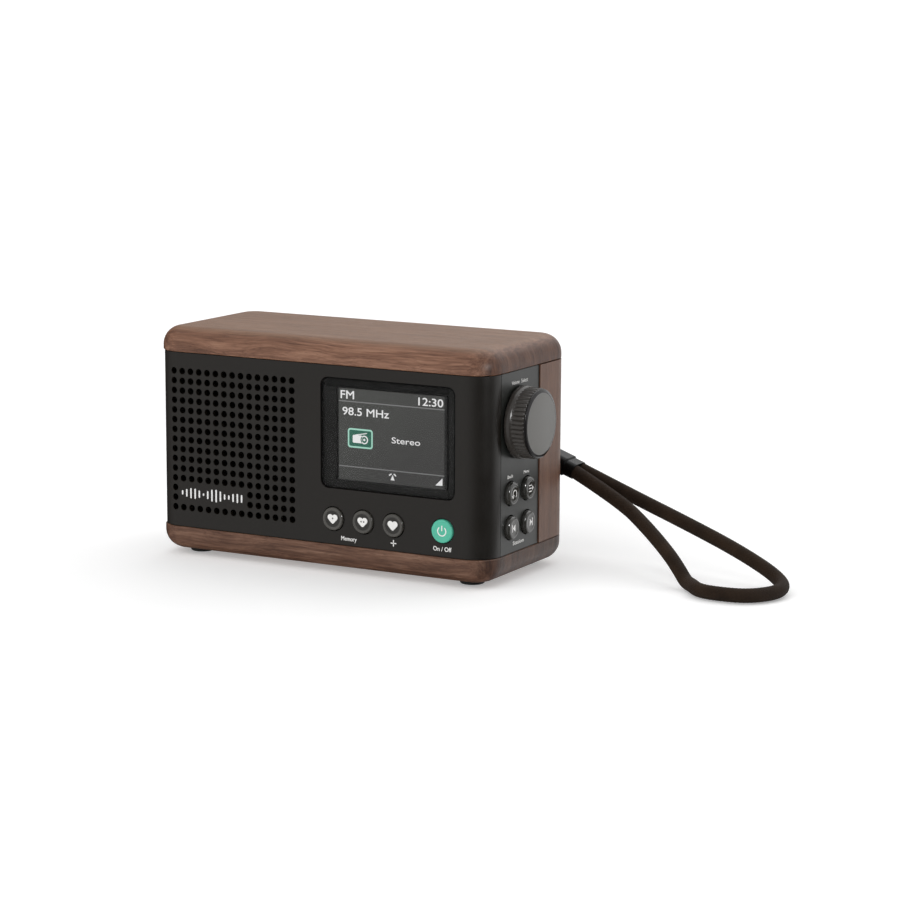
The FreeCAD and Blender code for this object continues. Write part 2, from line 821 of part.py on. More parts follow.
def usb_socket():
    """A flat round-ended shell with a tongue inside, open towards the back."""
    body = new_body("usb_socket")
    shell = new_sketch(body, "XZ_Plane")
    draw_rounded_rectangle(shell, as_size(0), as_size(0), d.usb_width, d.usb_height, as_size(1.5))
    pad(body, shell, 8.0)
    mouth = new_sketch(body, "XZ_Plane")
    draw_rounded_rectangle(mouth, as_size(0), as_size(0), d.usb_width - 0.6, d.usb_height - 0.6,
                           as_size(1.25))
    pocket(body, mouth, 6.5, backwards=True)
    tongue = new_sketch(body, "XZ_Plane", as_size(0.8))
    draw_rounded_rectangle(tongue, as_size(0), as_size(0), as_size(6.7), as_size(0.7), as_size(0.3))
    pad(body, tongue, 6.2)
    place(body, d.usb_x, d.back_panel_face - 0.6, d.usb_z)
    keep(body, "usb_socket")


def headphone_socket():
    block = box_at("jack_block", d.jack_x, d.back_panel_face - 6.2 - 8.4, d.jack_z, 6.4, 8.4, 6.0)
    nose = rod_at("jack_nose", d.jack_x, d.back_panel_face - 8.0, d.jack_z, 3.0, 7.6, OUT_BACK)
    bore = rod_at("jack_bore", d.jack_x, d.back_panel_face - 0.4 - d.jack_length, d.jack_z,
                  d.jack_radius, d.jack_length, OUT_BACK)
    keep(cut("headphone_socket", fuse("jack", [block, nose]), bore), "headphone_socket")


def board_screws():
    screws = []
    face = MAIN_BOARD_Y + d.board_thickness
    for i, j in ((-1, -1), (1, -1), (-1, 1), (1, 1)):
        x = MAIN_BOARD_X + BOARD_SCREW_X * i
        z = MAIN_BOARD_Z + BOARD_SCREW_Z * j
        screws.append(rod_at("board_screw", x, face, z, BOARD_SCREW_HEAD, 1.6, OUT_BACK))
    keep(fuse("board_screws", screws), "board_screws")


# ---------------------------------------------------------------- display

def display():
    gap = d.seam * 2
    body = new_body("display_window")
    glass = new_sketch(body, "XZ_Plane")
    draw_rounded_rectangle(glass, as_size(0), as_size(0), d.display_width - gap,
                           d.display_height - gap, d.display_corner - d.seam)
    pad(body, glass, d.window_thickness)
    window_back = 0.2 + d.window_thickness - HALF_DEPTH
    place(body, d.display_x, window_back, d.display_z)
    keep(body, "display_window")

    body = new_body("display_bezel")
    frame = new_sketch(body, "XZ_Plane")
    draw_rounded_rectangle(frame, as_size(0), as_size(0), d.display_width - gap,
                           d.display_height - gap, d.display_corner - d.seam)
    draw_rounded_rectangle(frame, d.picture_shift, as_size(-0.2), d.picture_width + 3.1,
                           d.picture_height + 0.8, as_size(0.6))
    pad(body, frame, 1.4)
    place(body, d.display_x, window_back + 1.4, d.display_z)
    keep(body, "display_bezel")

    panel_front = window_back + 1.5
    width = d.picture_width + 7.0
    height = d.picture_height + 5.0
    keep(box_at("lcd_panel", d.display_x, panel_front, d.display_z, width, 1.8, height), "lcd_panel")
    keep(box_at("backlight", d.display_x, panel_front + 1.8, d.display_z, width, 2.5, height), "backlight")


# ---------------------------------------------------------------- speaker

CLOTH = 0.4
FRAME_PLATE = 1.5
BASKET_WALL = 1.2
SCREW_SHANK = 1.1


def speaker_piece(label, corners, y):
    """A piece turned about the speaker's axis, heights running from front to back."""
    x, z = speaker_centre()
    body = turned_body(label, corners)
    place(body, x, as_size(y), z, OUT_BACK)
    keep(body, label)


def speaker():
    x, z = speaker_centre()
    cloth_x = d.cloth_left + d.cloth_width / 2
    sheet_of_cloth = box_at("grille_cloth", cloth_x, FRONT_INSIDE, z, d.cloth_width, CLOTH, d.cloth_height)
    keep(sheet_of_cloth, "grille_cloth")

    front = FRONT_INSIDE + CLOTH
    body = new_body("speaker_basket")
    frame = new_sketch(body, "XZ_Plane")
    draw_rounded_rectangle(frame, as_size(0), as_size(0), d.speaker_frame_width, d.speaker_frame_height,
                           as_size(6.0))
    pad(body, frame, FRAME_PLATE, backwards=True)
    section = new_sketch(body, "YZ_Plane")
    rim = d.speaker_radius - 1.0
    draw_polygon(section, [(FRAME_PLATE, as_size(0)), (FRAME_PLATE, rim), (2.7, rim), (14.4, 17.0),
                           (14.4, as_size(0))])
    feature = body.newObject("PartDesign::Revolution", "basket_turned")
    feature.Profile = section
    feature.ReferenceAxis = (section, ["H_Axis"])
    doc.recompute()
    hollow = new_sketch(body, "YZ_Plane")
    inner = rim - BASKET_WALL
    draw_polygon(hollow, [(-1.0, as_size(0)), (-1.0, inner), (2.4, inner), (13.2, 15.6), (13.2, as_size(0))])
    before = body.Shape.Volume
    feature = body.newObject("PartDesign::Groove", "basket_hollow")
    feature.Profile = hollow
    feature.ReferenceAxis = (hollow, ["H_Axis"])
    doc.recompute()
    if body.Shape.Volume > before - 100.0:
        raise RuntimeError("the speaker basket is not hollow")
    screw_holes = new_sketch(body, "XZ_Plane")
    for across, up in speaker_screw_offsets():
        draw_circle(screw_holes, across, up, as_size(1.3))
    pocket(body, screw_holes)
    place(body, x, front, z)
    keep(body, "speaker_basket")

    speaker_piece("speaker_surround", [(21.6, 1.6), (22.6, 0.8), (25.0, 0.8), (26.2, 1.6), (26.2, 2.4),
                                       (25.0, 1.6), (22.6, 1.6), (21.6, 2.4)], front)
    speaker_piece("speaker_cone", [(21.4, 1.8), (21.4, 2.6), (7.0, 10.8), (7.0, 10.0)], front)
    speaker_piece("speaker_dust_cap", [(0, 7.8), (3.5, 8.2), (6.8, 9.8), (6.8, 10.6), (3.5, 9.0), (0, 8.6)],
                  front)
    speaker_piece("speaker_magnet", [(0, 14.5), (16.5, 14.5), (16.5, 23.5), (0, 23.5)], front)

    screws = []
    for screw_x, screw_z in speaker_screw_places():
        shank = rod_at("speaker_screw", screw_x, FRONT_INSIDE - 1.9, screw_z, SCREW_SHANK, 3.9, OUT_BACK)
        head = rod_at("speaker_screw_head", screw_x, FRONT_INSIDE + 1.95, screw_z, SCREW_SHANK * 2, 1.5,
                      OUT_BACK)
        screws.append(fuse("speaker_screw", [shank, head]))
    keep(fuse("speaker_screws", screws), "speaker_screws")


# ---------------------------------------------------------------- push buttons

def button(label, radius, proud, rounding, x, y, z, turn):
    """A cap with a round edge, a flange behind the panel and a stem over its switch.

    The body's own origin is where its axis crosses the panel's outer face."""
    inside = -d.panel_wall - 0.2
    flange = inside - d.button_flange
    stem = flange - d.button_stem
    reach = radius + d.button_flange_reach
    body = turned_body(label, [
        (0, proud), (radius, proud), (radius, inside), (reach, inside), (reach, flange),
        (2.0, flange), (2.0, stem), (0, stem)])
    fillet(body, rounding, at_height(proud))
    place(body, x, y, z, turn)
    keep(body, label)


def buttons():
    for label, x in FRONT_BUTTONS.items():
        button(label, d.front_button_radius, d.front_button_proud, as_size(0.7),
               as_size(x), -HALF_DEPTH, d.front_button_z, OUT_FRONT)
    for label, y, z in side_button_places():
        button(label, d.side_button_radius, d.side_button_proud, as_size(1.1),
               HALF_WIDTH, y, z, OUT_RIGHT)


# ---------------------------------------------------------------- knob

KNURLS = 46
SHAFT_STOP = 1.5


def knob():
    """Everything here is turned about one axis that leaves the case to the right."""
    cap_back = d.knob_reach - d.knob_cap
    body = turned_body("knob_body", [
        (d.shaft_radius, d.knob_gap), (d.knob_flange_radius, d.knob_gap),
        (d.knob_flange_radius, d.knob_flange), (d.knob_radius, d.knurl_start), (d.knob_radius, cap_back),
        (0, cap_back), (0, cap_back - SHAFT_STOP), (d.shaft_radius, cap_back - SHAFT_STOP)])
    groove = new_sketch(body, "XY_Plane", d.knurl_start)
    outside = d.knob_radius + 0.3
    draw_polygon(groove, [(d.knob_radius - d.knurl_depth, as_size(0)), (outside, -d.knurl_half_width),
                          (outside, d.knurl_half_width)])
    one_groove = pocket(body, groove, d.knob_reach, backwards=True)
    pattern = body.newObject("PartDesign::PolarPattern", "knurling")
    pattern.Originals = [one_groove]
    axis = next(item for item in body.Origin.OriginFeatures if item.Role == "Z_Axis")
    pattern.Axis = (axis, [""])
    pattern.Angle = 360
    pattern.Occurrences = KNURLS
    body.Tip = pattern
    doc.recompute()
    place(body, HALF_WIDTH, d.controls_y, d.knob_z, OUT_RIGHT)
    keep(body, "knob_body")

    body = turned_body("knob_cap", [
        (0, cap_back), (d.knob_cap_radius, cap_back),
        (d.knob_cap_radius, d.knob_reach - d.knob_cap_bevel_depth),
        (d.knob_cap_radius - d.knob_cap_bevel, d.knob_reach), (0, d.knob_reach)])
    place(body, HALF_WIDTH, d.controls_y, d.knob_z, OUT_RIGHT)
    keep(body, "knob_cap")


def encoder():
    """The rotary switch behind the knob: housing, shaft, and the disc that a push moves."""
    board_face = SIDE_BOARD_X + d.board_thickness
    depth = SIDE_INSIDE - 0.3 - board_face
    body = new_body("encoder_body")
    housing = new_sketch(body, "XY_Plane")
    draw_rounded_rectangle(housing, as_size(0), as_size(0), as_size(12.4), as_size(12.4), as_size(0.8))
    pad(body, housing, depth)
    neck = new_sketch(body, "XY_Plane")
    draw_circle(neck, as_size(0), as_size(0), d.shaft_radius + 1.6)
    pad(body, neck, depth + 2.8)
    chamber = new_sketch(body, "XY_Plane", as_size(0.8))
    draw_circle(chamber, as_size(0), as_size(0), d.shaft_radius + 1.4)
    pocket(body, chamber, 3.0, backwards=True)
    bore = new_sketch(body, "XY_Plane", as_size(0.8))
    draw_circle(bore, as_size(0), as_size(0), d.shaft_radius + 0.1)
    pocket(body, bore, depth + 4.0, backwards=True)
    place(body, board_face, d.controls_y, d.knob_z, OUT_RIGHT)
    keep(body, "encoder_body")

    disc = rod_at("encoder_slider", board_face + 1.8, d.controls_y, d.knob_z, d.shaft_radius + 1.0, 1.0,
                  OUT_RIGHT)
    keep(disc, "encoder_slider")
    shaft_start = board_face + 3.1
    shaft_length = HALF_WIDTH + d.knob_reach - d.knob_cap - SHAFT_STOP - shaft_start
    shaft = rod_at("encoder_shaft", shaft_start, d.controls_y, d.knob_z, d.shaft_radius, shaft_length,
                   OUT_RIGHT)
    keep(shaft, "encoder_shaft")


# ---------------------------------------------------------------- aerial

EAR_INSIDE = 3.7
EAR_OUTSIDE = 5.2
PIN_RADIUS = 1.2
ELBOW_RADIUS = 3.2
ELBOW_REACH = 9.0


def aerial():
    """A telescopic aerial that lies along the back, from its swivel towards -X."""
    y_mid = d.aerial_y
    puck = rod_at("aerial_puck", d.aerial_x, d.back_panel_face + 0.2, d.aerial_z, 6.0, 2.6, OUT_BACK)
    stud = rod_at("aerial_stud", d.aerial_x, d.back_panel_face - 9.0, d.aerial_z, 2.6, 10.0, OUT_BACK)
    nut = rod_at("aerial_nut", d.aerial_x, d.back_panel_face - 9.0, d.aerial_z, 4.6, 2.4, OUT_BACK)
    ears = []
    for side in (-1, 1):
        ear_z = d.aerial_z + side * (EAR_INSIDE + EAR_OUTSIDE) / 2
        ear_height = EAR_OUTSIDE - EAR_INSIDE
        start = d.back_panel_face + 2.6
        flat = box_at("aerial_ear", d.aerial_x, start, ear_z, 6.0, y_mid - start, ear_height)
        tip = rod_at("aerial_ear_end", d.aerial_x, y_mid, ear_z - ear_height / 2, 3.0, ear_height, UPRIGHT)
        ears += [flat, tip]
    pin_half = EAR_OUTSIDE + 0.3
    pin = rod_at("aerial_pin", d.aerial_x, y_mid, d.aerial_z - pin_half, PIN_RADIUS, 2 * pin_half, UPRIGHT)
    keep(pin, "aerial_pin")
    base = fuse("aerial_base", [puck, stud, nut] + ears)
    pin_hole = rod_at("aerial_pin_hole", d.aerial_x, y_mid, d.aerial_z - 10.0, PIN_RADIUS, 20.0, UPRIGHT)
    keep(cut("aerial_base", base, pin_hole), "aerial_base")

    barrel = rod_at("elbow_barrel", d.aerial_x, y_mid, d.aerial_z - 3.4, ELBOW_RADIUS, 6.8, UPRIGHT)
    socket = rod_at("elbow_socket", d.aerial_x, y_mid, d.aerial_z, ELBOW_RADIUS, ELBOW_REACH, OUT_LEFT)
    elbow_hole = rod_at("elbow_hole", d.aerial_x, y_mid, d.aerial_z - 10.0, PIN_RADIUS + 0.2, 20.0, UPRIGHT)
    elbow = cut("aerial_elbow", fuse("elbow", [barrel, socket]), elbow_hole)
    keep(elbow, "aerial_elbow")

    start = d.aerial_x - ELBOW_REACH
    for number in range(3):
        outer = d.aerial_tube_radius - d.aerial_step * number
        offset = 1.5 * number
        length = d.aerial_tube_length - (0.5 if number else 0.0)
        label = f"aerial_tube_{number + 1}"
        x = start - offset - (0.5 if number else 0.0)
        skin = rod_at(label, x, y_mid, d.aerial_z, outer, length, OUT_LEFT)
        hollow_x = x - (1.0 if number == 0 else -1.0)
        bore = outer - d.aerial_wall
        hollow = rod_at(f"{label}_hollow", hollow_x, y_mid, d.aerial_z, bore, length + 4.0, OUT_LEFT)
        keep(cut(label, skin, hollow), label)

    rod_start = start - 6.0
    tip_x = start - d.aerial_tube_length - 4.5
    rod = rod_at("aerial_rod", rod_start, y_mid, d.aerial_z, d.aerial_tube_radius - d.aerial_step * 3,
                 rod_start - tip_x, OUT_LEFT)
    button_end = rod_at("aerial_button", tip_x, y_mid, d.aerial_z, 3.0, 6.0, OUT_LEFT)
    keep(fuse("aerial_tip", [rod, button_end]), "aerial_tip")


# ---------------------------------------------------------------- wrist strap

# The cord's centre line between its two ends at the ferrule: out along the far strand, round
# the end of the loop on the ground, and back up the near strand.
STRAP_ROUTE = [
    (104.0, 45.0, 27.9),
    (131.0, 39.0, 20.3),
    (157.0, 33.4, 12.3),
    (177.0, 27.5, 4.6),
    (184.5, 13.3, 3.0),
    (176.5, -2.2, 3.0),
    (161.7, -3.7, 3.0),
    (154.1, -1.4, 3.0),
    (148.6, 5.4, 3.0),
    (144.3, 9.4, 3.0),
    (140.3, 11.6, 7.1),
    (133.4, 16.4, 12.1),
    (119.9, 24.8, 19.8),
    (103.9, 34.2, 27.3),
]


def strap_lug():
    """A shouldered stud on the back panel that the ferrule's eye turns on."""
    body = turned_body("strap_lug", [
        (0, 0), (5.7, 0), (5.7, 1.5), (3.6, 1.8), (3.6, 4.4), (2.2, 4.4), (2.2, 11.0),
        (4.0, 11.0), (4.0, STRAP_HEAD - d.back_panel_face), (0, STRAP_HEAD - d.back_panel_face)])
    fillet(body, 0.5, at_height(STRAP_HEAD - d.back_panel_face))
    place(body, d.strap_x, d.back_panel_face, d.strap_z, OUT_BACK)
    keep(body, "strap_lug")


def strap_ferrule():
    """A flat clamp with an eye at one end and the two strands of the cord at the other.

    Its own X runs from the stud's axis along the cord."""
    body = new_body("strap_ferrule")
    block = new_sketch(body, "YZ_Plane", d.ferrule_start)
    draw_rounded_rectangle(block, as_size(0), as_size(0), d.ferrule_width, d.ferrule_height,
                           d.ferrule_corner)
    pad(body, block, d.ferrule_shoulder - d.ferrule_start)
    fillet(body, 0.9, lambda edge: edge.BoundBox.XLength < 0.01, chamfered=True)
    collar = new_sketch(body, "YZ_Plane", d.ferrule_start + 1.0)
    draw_rounded_rectangle(collar, as_size(0), as_size(0), d.ferrule_width - 0.6, d.ferrule_height - 1.2,
                           d.ferrule_corner - 0.3)
    pad(body, collar, d.ferrule_end - d.ferrule_start - 1.0)
    half_tongue = d.ferrule_tongue / 2
    tongue = new_sketch(body, "XZ_Plane", -half_tongue)
    draw_rectangle(tongue, as_size(0), d.ferrule_start + 1.5, -half_tongue, half_tongue)
    pad(body, tongue, d.ferrule_tongue)
    eye = new_sketch(body, "XZ_Plane", -half_tongue)
    draw_circle(eye, as_size(0), as_size(0), d.ferrule_eye)
    pad(body, eye, d.ferrule_tongue)
    hole = new_sketch(body, "XZ_Plane")
    draw_circle(hole, as_size(0), as_size(0), as_size(2.5))
    pocket(body, hole)
    slope = Rotation(Vector(0, 1, 0), float(d.strap_slope))
    place(body, d.strap_x, d.strap_y, d.strap_z, slope)
    keep(body, "strap_ferrule")


def rounded_path(points):
    """Straight runs through the points, joined by tangent arcs as large as the runs allow."""
    edges = []
    start = points[0]
    for before, corner, after in zip(points, points[1:], points[2:]):
        back = before - corner
        ahead = after - corner
        setback = 0.45 * min(back.Length, ahead.Length)
        back.normalize()
        ahead.normalize()
        half_turn = (math.pi - back.getAngle(ahead)) / 2
        radius = setback / math.tan(half_turn)
        print(f"cord arc: turn {math.degrees(half_turn * 2):.0f} degrees, radius {radius:.1f} mm")
        inward = (back + ahead).normalize()
        arc_start = corner + back * setback
        arc_middle = corner + inward * (radius / math.cos(half_turn) - radius)
        arc_end = corner + ahead * setback
        edges.append(Part.LineSegment(start, arc_start).toShape())
        edges.append(Part.Arc(arc_start, arc_middle, arc_end).toShape())
        start = arc_end
    edges.append(Part.LineSegment(start, points[-1]).toShape())
    return Part.Wire(edges)


def strap_cord():
    """One round cord whose two ends sit side by side in the ferrule's end face."""
    slope = math.radians(float(d.strap_slope))
    stud = Vector(float(d.strap_x), float(d.strap_y), float(d.strap_z))
    face = stud + Vector(math.cos(slope), 0, -math.sin(slope)) * float(d.ferrule_end)
    beside = Vector(0, float(d.cord_spread) / 2, 0)
    points = [face + beside] + [Vector(*point) for point in STRAP_ROUTE] + [face - beside]
    path = rounded_path(points)
    radius = float(d.cord_diameter) / 2
    section = Part.Wire([Part.Circle(points[0], points[1] - points[0], radius).toShape()])
    tube = path.makePipeShell([section], True, False)
    expected = math.pi * radius ** 2 * path.Length
    print(f"cord: length {path.Length:.1f} mm, volume {tube.Volume / expected:.4f} of section x length")
    if abs(tube.Volume / expected - 1) > 0.01:
        raise RuntimeError("the cord's tube has the wrong volume")
    cord = doc.addObject("Part::Feature", "strap_cord")
    cord.Shape = tube
    cord.Placement = Placement(Vector(float(SHIFT_X), float(SHIFT_Y), 0), Rotation())
    keep(cord, "strap_cord")


# ---------------------------------------------------------------- build and export

def build():
    top_cap()
    bottom_cap()
    rubber_feet()
    case_screws()
    front_panel()
    side_panel("right_side_panel", 1)
    side_panel("left_side_panel", -1)
    rear_surround()
    back_panel()
    battery_door()
    battery_bay()
    battery_pack()
    battery_contacts()
    chassis_base()
    chassis_top()
    front_keys()
    side_keys()
    main_boards()
    usb_socket()
    headphone_socket()
    board_screws()
    display()
    speaker()
    buttons()
    knob()
    encoder()
    aerial()
    strap_lug()
    strap_ferrule()
    strap_cord()
    doc.recompute()


def check_document():
    """Stops the export if any object failed or any sub-part is empty or invalid."""
    for obj in doc.Objects:
        if "Invalid" in obj.State or "Error" in obj.State:
            raise RuntimeError(f"{obj.Label} failed: {obj.State}")
    for obj in sub_parts:
        if obj.Shape.isNull() or not obj.Shape.isValid():
            raise RuntimeError(f"{obj.Label} has no valid shape")


build()
check_document()
os.makedirs("parts", exist_ok=True)
for obj in sub_parts:
    obj.Shape.exportStep(f"parts/{obj.Label}.step")
print(len(sub_parts), "sub-parts")
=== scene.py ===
import json
import math
from collections import namedtuple
from math import cos, pi, radians, sin

import bmesh
import bpy
from mathutils import Matrix, Vector


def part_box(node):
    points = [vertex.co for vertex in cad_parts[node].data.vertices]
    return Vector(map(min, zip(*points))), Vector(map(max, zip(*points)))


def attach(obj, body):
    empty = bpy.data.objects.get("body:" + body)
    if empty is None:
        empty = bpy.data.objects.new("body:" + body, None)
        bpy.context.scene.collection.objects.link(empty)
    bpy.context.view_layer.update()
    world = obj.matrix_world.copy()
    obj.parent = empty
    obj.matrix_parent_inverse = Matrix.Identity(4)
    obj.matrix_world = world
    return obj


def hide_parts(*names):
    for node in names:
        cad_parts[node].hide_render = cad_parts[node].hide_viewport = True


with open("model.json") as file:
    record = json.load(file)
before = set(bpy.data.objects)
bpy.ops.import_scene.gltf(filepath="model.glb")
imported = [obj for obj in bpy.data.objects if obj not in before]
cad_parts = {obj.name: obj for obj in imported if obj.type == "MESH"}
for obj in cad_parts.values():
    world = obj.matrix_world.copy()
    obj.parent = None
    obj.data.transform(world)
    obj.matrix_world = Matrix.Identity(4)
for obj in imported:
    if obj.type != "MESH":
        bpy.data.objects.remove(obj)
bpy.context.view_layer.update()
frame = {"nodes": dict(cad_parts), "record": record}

# A small digital radio: walnut top, base and rear, a black perforated front with a colour
# display and round keys, a grey control strip with a knurled knob on its right side, and a
# corded wrist strap. Everything is in metres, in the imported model's frame.

MM = 0.001


# ---------------------------------------------------------------- places in the frame

CAP_LOW, CAP_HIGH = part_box("top_cap")
BASE_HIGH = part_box("bottom_cap")[1]
PANEL_LOW, PANEL_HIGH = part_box("front_panel")
CASE_X = (PANEL_LOW.x + PANEL_HIGH.x) / 2
CASE_Y = (CAP_LOW.y + CAP_HIGH.y) / 2
SIDE_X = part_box("right_side_panel")[1].x


def case_point(x, y, z):
    """A point given in millimetres from the middle of the case, on the ground."""
    return Vector((CASE_X + x * MM, CASE_Y + y * MM, z * MM))


def facing(origin, right, up):
    """A matrix that stands a flat drawing, in millimetres, at origin with its face outward."""
    right = Vector(right)
    up = Vector(up)
    out = right.cross(up)
    turn = Matrix((right, up, out)).transposed().to_4x4()
    return Matrix.Translation(origin) @ turn @ Matrix.Scale(MM, 4)


def on_front(x, z, y=None):
    """Drawings on the front: x and z in millimetres of the case, y a depth of the frame."""
    spot = case_point(x, 0, z)
    spot.y = PANEL_LOW.y if y is None else y
    return facing(spot, (1, 0, 0), (0, 0, 1))


def on_side(y, z):
    """Drawings on the right side, read by someone who looks at it from the right."""
    spot = case_point(0, y, z)
    spot.x = SIDE_X
    return facing(spot, (0, 1, 0), (0, 0, 1))


# ---------------------------------------------------------------- camera

def make_camera():
    """The photograph's view: its direction, its distance and a trace of roll."""
    azimuth = radians(28.472)
    elevation = radians(10.142)
    roll = radians(0.281)
    distance = 1.16018
    aim = case_point(39.32, 14.0, 42.17)
    back = Vector((sin(azimuth) * cos(elevation), -cos(azimuth) * cos(elevation), sin(elevation)))
    level = Vector((cos(azimuth), sin(azimuth), 0))
    upright = back.cross(level)
    right = level * cos(roll) + upright * sin(roll)
    up = upright * cos(roll) - level * sin(roll)
    data = bpy.data.cameras.new("camera")
    data.lens = 109.64
    data.sensor_width = 36.0
    data.clip_end = 200.0
    camera = bpy.data.objects.new("camera", data)
    turn = Matrix((right, up, back)).transposed().to_4x4()
    camera.matrix_world = Matrix.Translation(aim + back * distance) @ turn
    bpy.context.scene.collection.objects.link(camera)
    bpy.context.scene.camera = camera


# ---------------------------------------------------------------- material graphs

class Graph:
    """A node tree, with short ways to add nodes and join them."""

    def __init__(self, owner, shader):
        owner.use_nodes = True
        self.tree = owner.node_tree
        self.shader = self.tree.nodes[shader]

    def set(self, socket, value):
        self.feed(self.shader.inputs[socket], value)

    def feed(self, socket, value):
        if isinstance(value, bpy.types.NodeSocket):
            self.tree.links.new(value, socket)
        elif value is not None:
            socket.default_value = value

    def node(self, kind, *inputs, **settings):
        node = self.tree.nodes.new(kind)
        for key, value in settings.items():
            setattr(node, key, value)
        for socket, value in zip(node.inputs, inputs):
            self.feed(socket, value)
        return node

    def place(self):
        """Where the surface is, in millimetres."""
        coordinates = self.node("ShaderNodeTexCoord").outputs["Object"]
        return self.times(coordinates, (1 / MM, 1 / MM, 1 / MM))

    def times(self, vector, factors):
        return self.node("ShaderNodeVectorMath", vector, factors, operation="MULTIPLY").outputs[0]

    def plus(self, vector, other):
        return self.node("ShaderNodeVectorMath", vector, other, operation="ADD").outputs[0]

    def split(self, vector):
        return self.node("ShaderNodeSeparateXYZ", vector).outputs

    def join(self, x, y, z):
        return self.node("ShaderNodeCombineXYZ", x, y, z).outputs[0]

    def maths(self, operation, *values):
        return self.node("ShaderNodeMath", *values, operation=operation).outputs[0]

    def weighed(self, *pairs):
        """The sum of some values, each times its weight."""
        terms = [self.maths("MULTIPLY", value, weight) for value, weight in pairs]
        total = terms[0]
        for term in terms[1:]:
            total = self.maths("ADD", total, term)
        return total

    def noise(self, vector, scale=1.0, detail=2.0, roughness=0.5):
        node = self.node("ShaderNodeTexNoise")
        self.feed(node.inputs["Vector"], vector)
        node.inputs["Scale"].default_value = scale
        node.inputs["Detail"].default_value = detail
        node.inputs["Roughness"].default_value = roughness
        return node.outputs["Fac"]

    def remap(self, value, low, high, to_low=0.0, to_high=1.0):
        """A value's place between low and high, eased at both ends, as a number of another range."""
        node = self.node("ShaderNodeMapRange", value, low, high, to_low, to_high)
        node.interpolation_type = "SMOOTHSTEP"
        return node.outputs[0]

    def ramp(self, value, stops):
        node = self.node("ShaderNodeValToRGB", value)
        elements = node.color_ramp.elements
        while len(elements) < len(stops):
            elements.new(0.5)
        for element, (position, colour) in zip(elements, stops):
            element.position = position
            element.color = (*colour, 1.0)
        return node.outputs["Color"]

    def mix(self, factor, first, second, blend_type="MIX"):
        node = self.node("ShaderNodeMix", data_type="RGBA", blend_type=blend_type)
        self.feed(node.inputs["Factor"], factor)
        for socket, value in ((node.inputs[6], first), (node.inputs[7], second)):
            self.feed(socket, (*value, 1.0) if isinstance(value, tuple) else value)
        return node.outputs[2]

    def tinted(self, colour, tint):
        return self.mix(1.0, colour, tint, "MULTIPLY")

    def between(self, factor, first, second):
        """A number between two others."""
        node = self.node("ShaderNodeMix", factor, data_type="FLOAT")
        self.feed(node.inputs[2], first)
        self.feed(node.inputs[3], second)
        return node.outputs[0]

    def bump(self, height, distance):
        """Relief: height from 0 to 1 stands for a distance in millimetres."""
        node = self.node("ShaderNodeBump")
        node.inputs["Distance"].default_value = distance * MM
        self.feed(node.inputs["Height"], height)
        return node.outputs["Normal"]


class Surface(Graph):
    """A new material, with the numbers that are the same all over it."""

    def __init__(self, name, **settings):
        self.material = bpy.data.materials.new(name)
        super().__init__(self.material, "Principled BSDF")
        for socket, value in settings.items():
            self.set(socket.replace("_", " "), value)


# ---------------------------------------------------------------- materials

# Tones of the wood from its darkest lines to its lightest, each at its place in the grain.
WALNUT_TONES = [
    (0.36, (0.084, 0.036, 0.020)),
    (0.45, (0.159, 0.072, 0.042)),
    (0.51, (0.223, 0.107, 0.064)),
    (0.57, (0.288, 0.148, 0.092)),
    (0.66, (0.374, 0.213, 0.137)),
]
MEAN_TONE = WALNUT_TONES[2][1]
# Painted sheen: the tint that the slabs' top faces are drawn towards, greyer and lighter as light glances
# off them.
TOP_SHEEN_TINT = (1.09, 1.26, 1.14)
# Painted shade: the tint that darkens the slabs' faces that point along X, where less light falls.
END_SHADE_TINT = (0.46, 0.38, 0.32)
PORE_TINT = (0.45, 0.40, 0.38)
GRAIN_SQUEEZE = 0.05


def shaded(colour, factor):
    return tuple(channel * factor for channel in colour)


def wood_tone(colour, shade, contrast):
    """A tone drawn towards the mean one by contrast, then multiplied by shade."""
    return tuple(shade * (mean + (channel - mean) * contrast) for channel, mean in zip(colour, MEAN_TONE))


def upright_grain(g):
    """Places in wood whose grain stands upright, squeezed along the grain."""
    x, y, z = g.split(g.place())
    return g.join(x, y, g.maths("MULTIPLY", z, GRAIN_SQUEEZE))


def slab_grain(g, level, end):
    """Places in a slab whose grain runs along X, and from level turns down over its ends."""
    x, y, z = g.split(g.place())
    squeeze = g.remap(end, 0.0, 1.0, 1.0, 3 * GRAIN_SQUEEZE)
    drop = g.maths("MULTIPLY", g.maths("SUBTRACT", z, level), squeeze)
    return g.join(g.maths("MULTIPLY", x, GRAIN_SQUEEZE), y, drop)


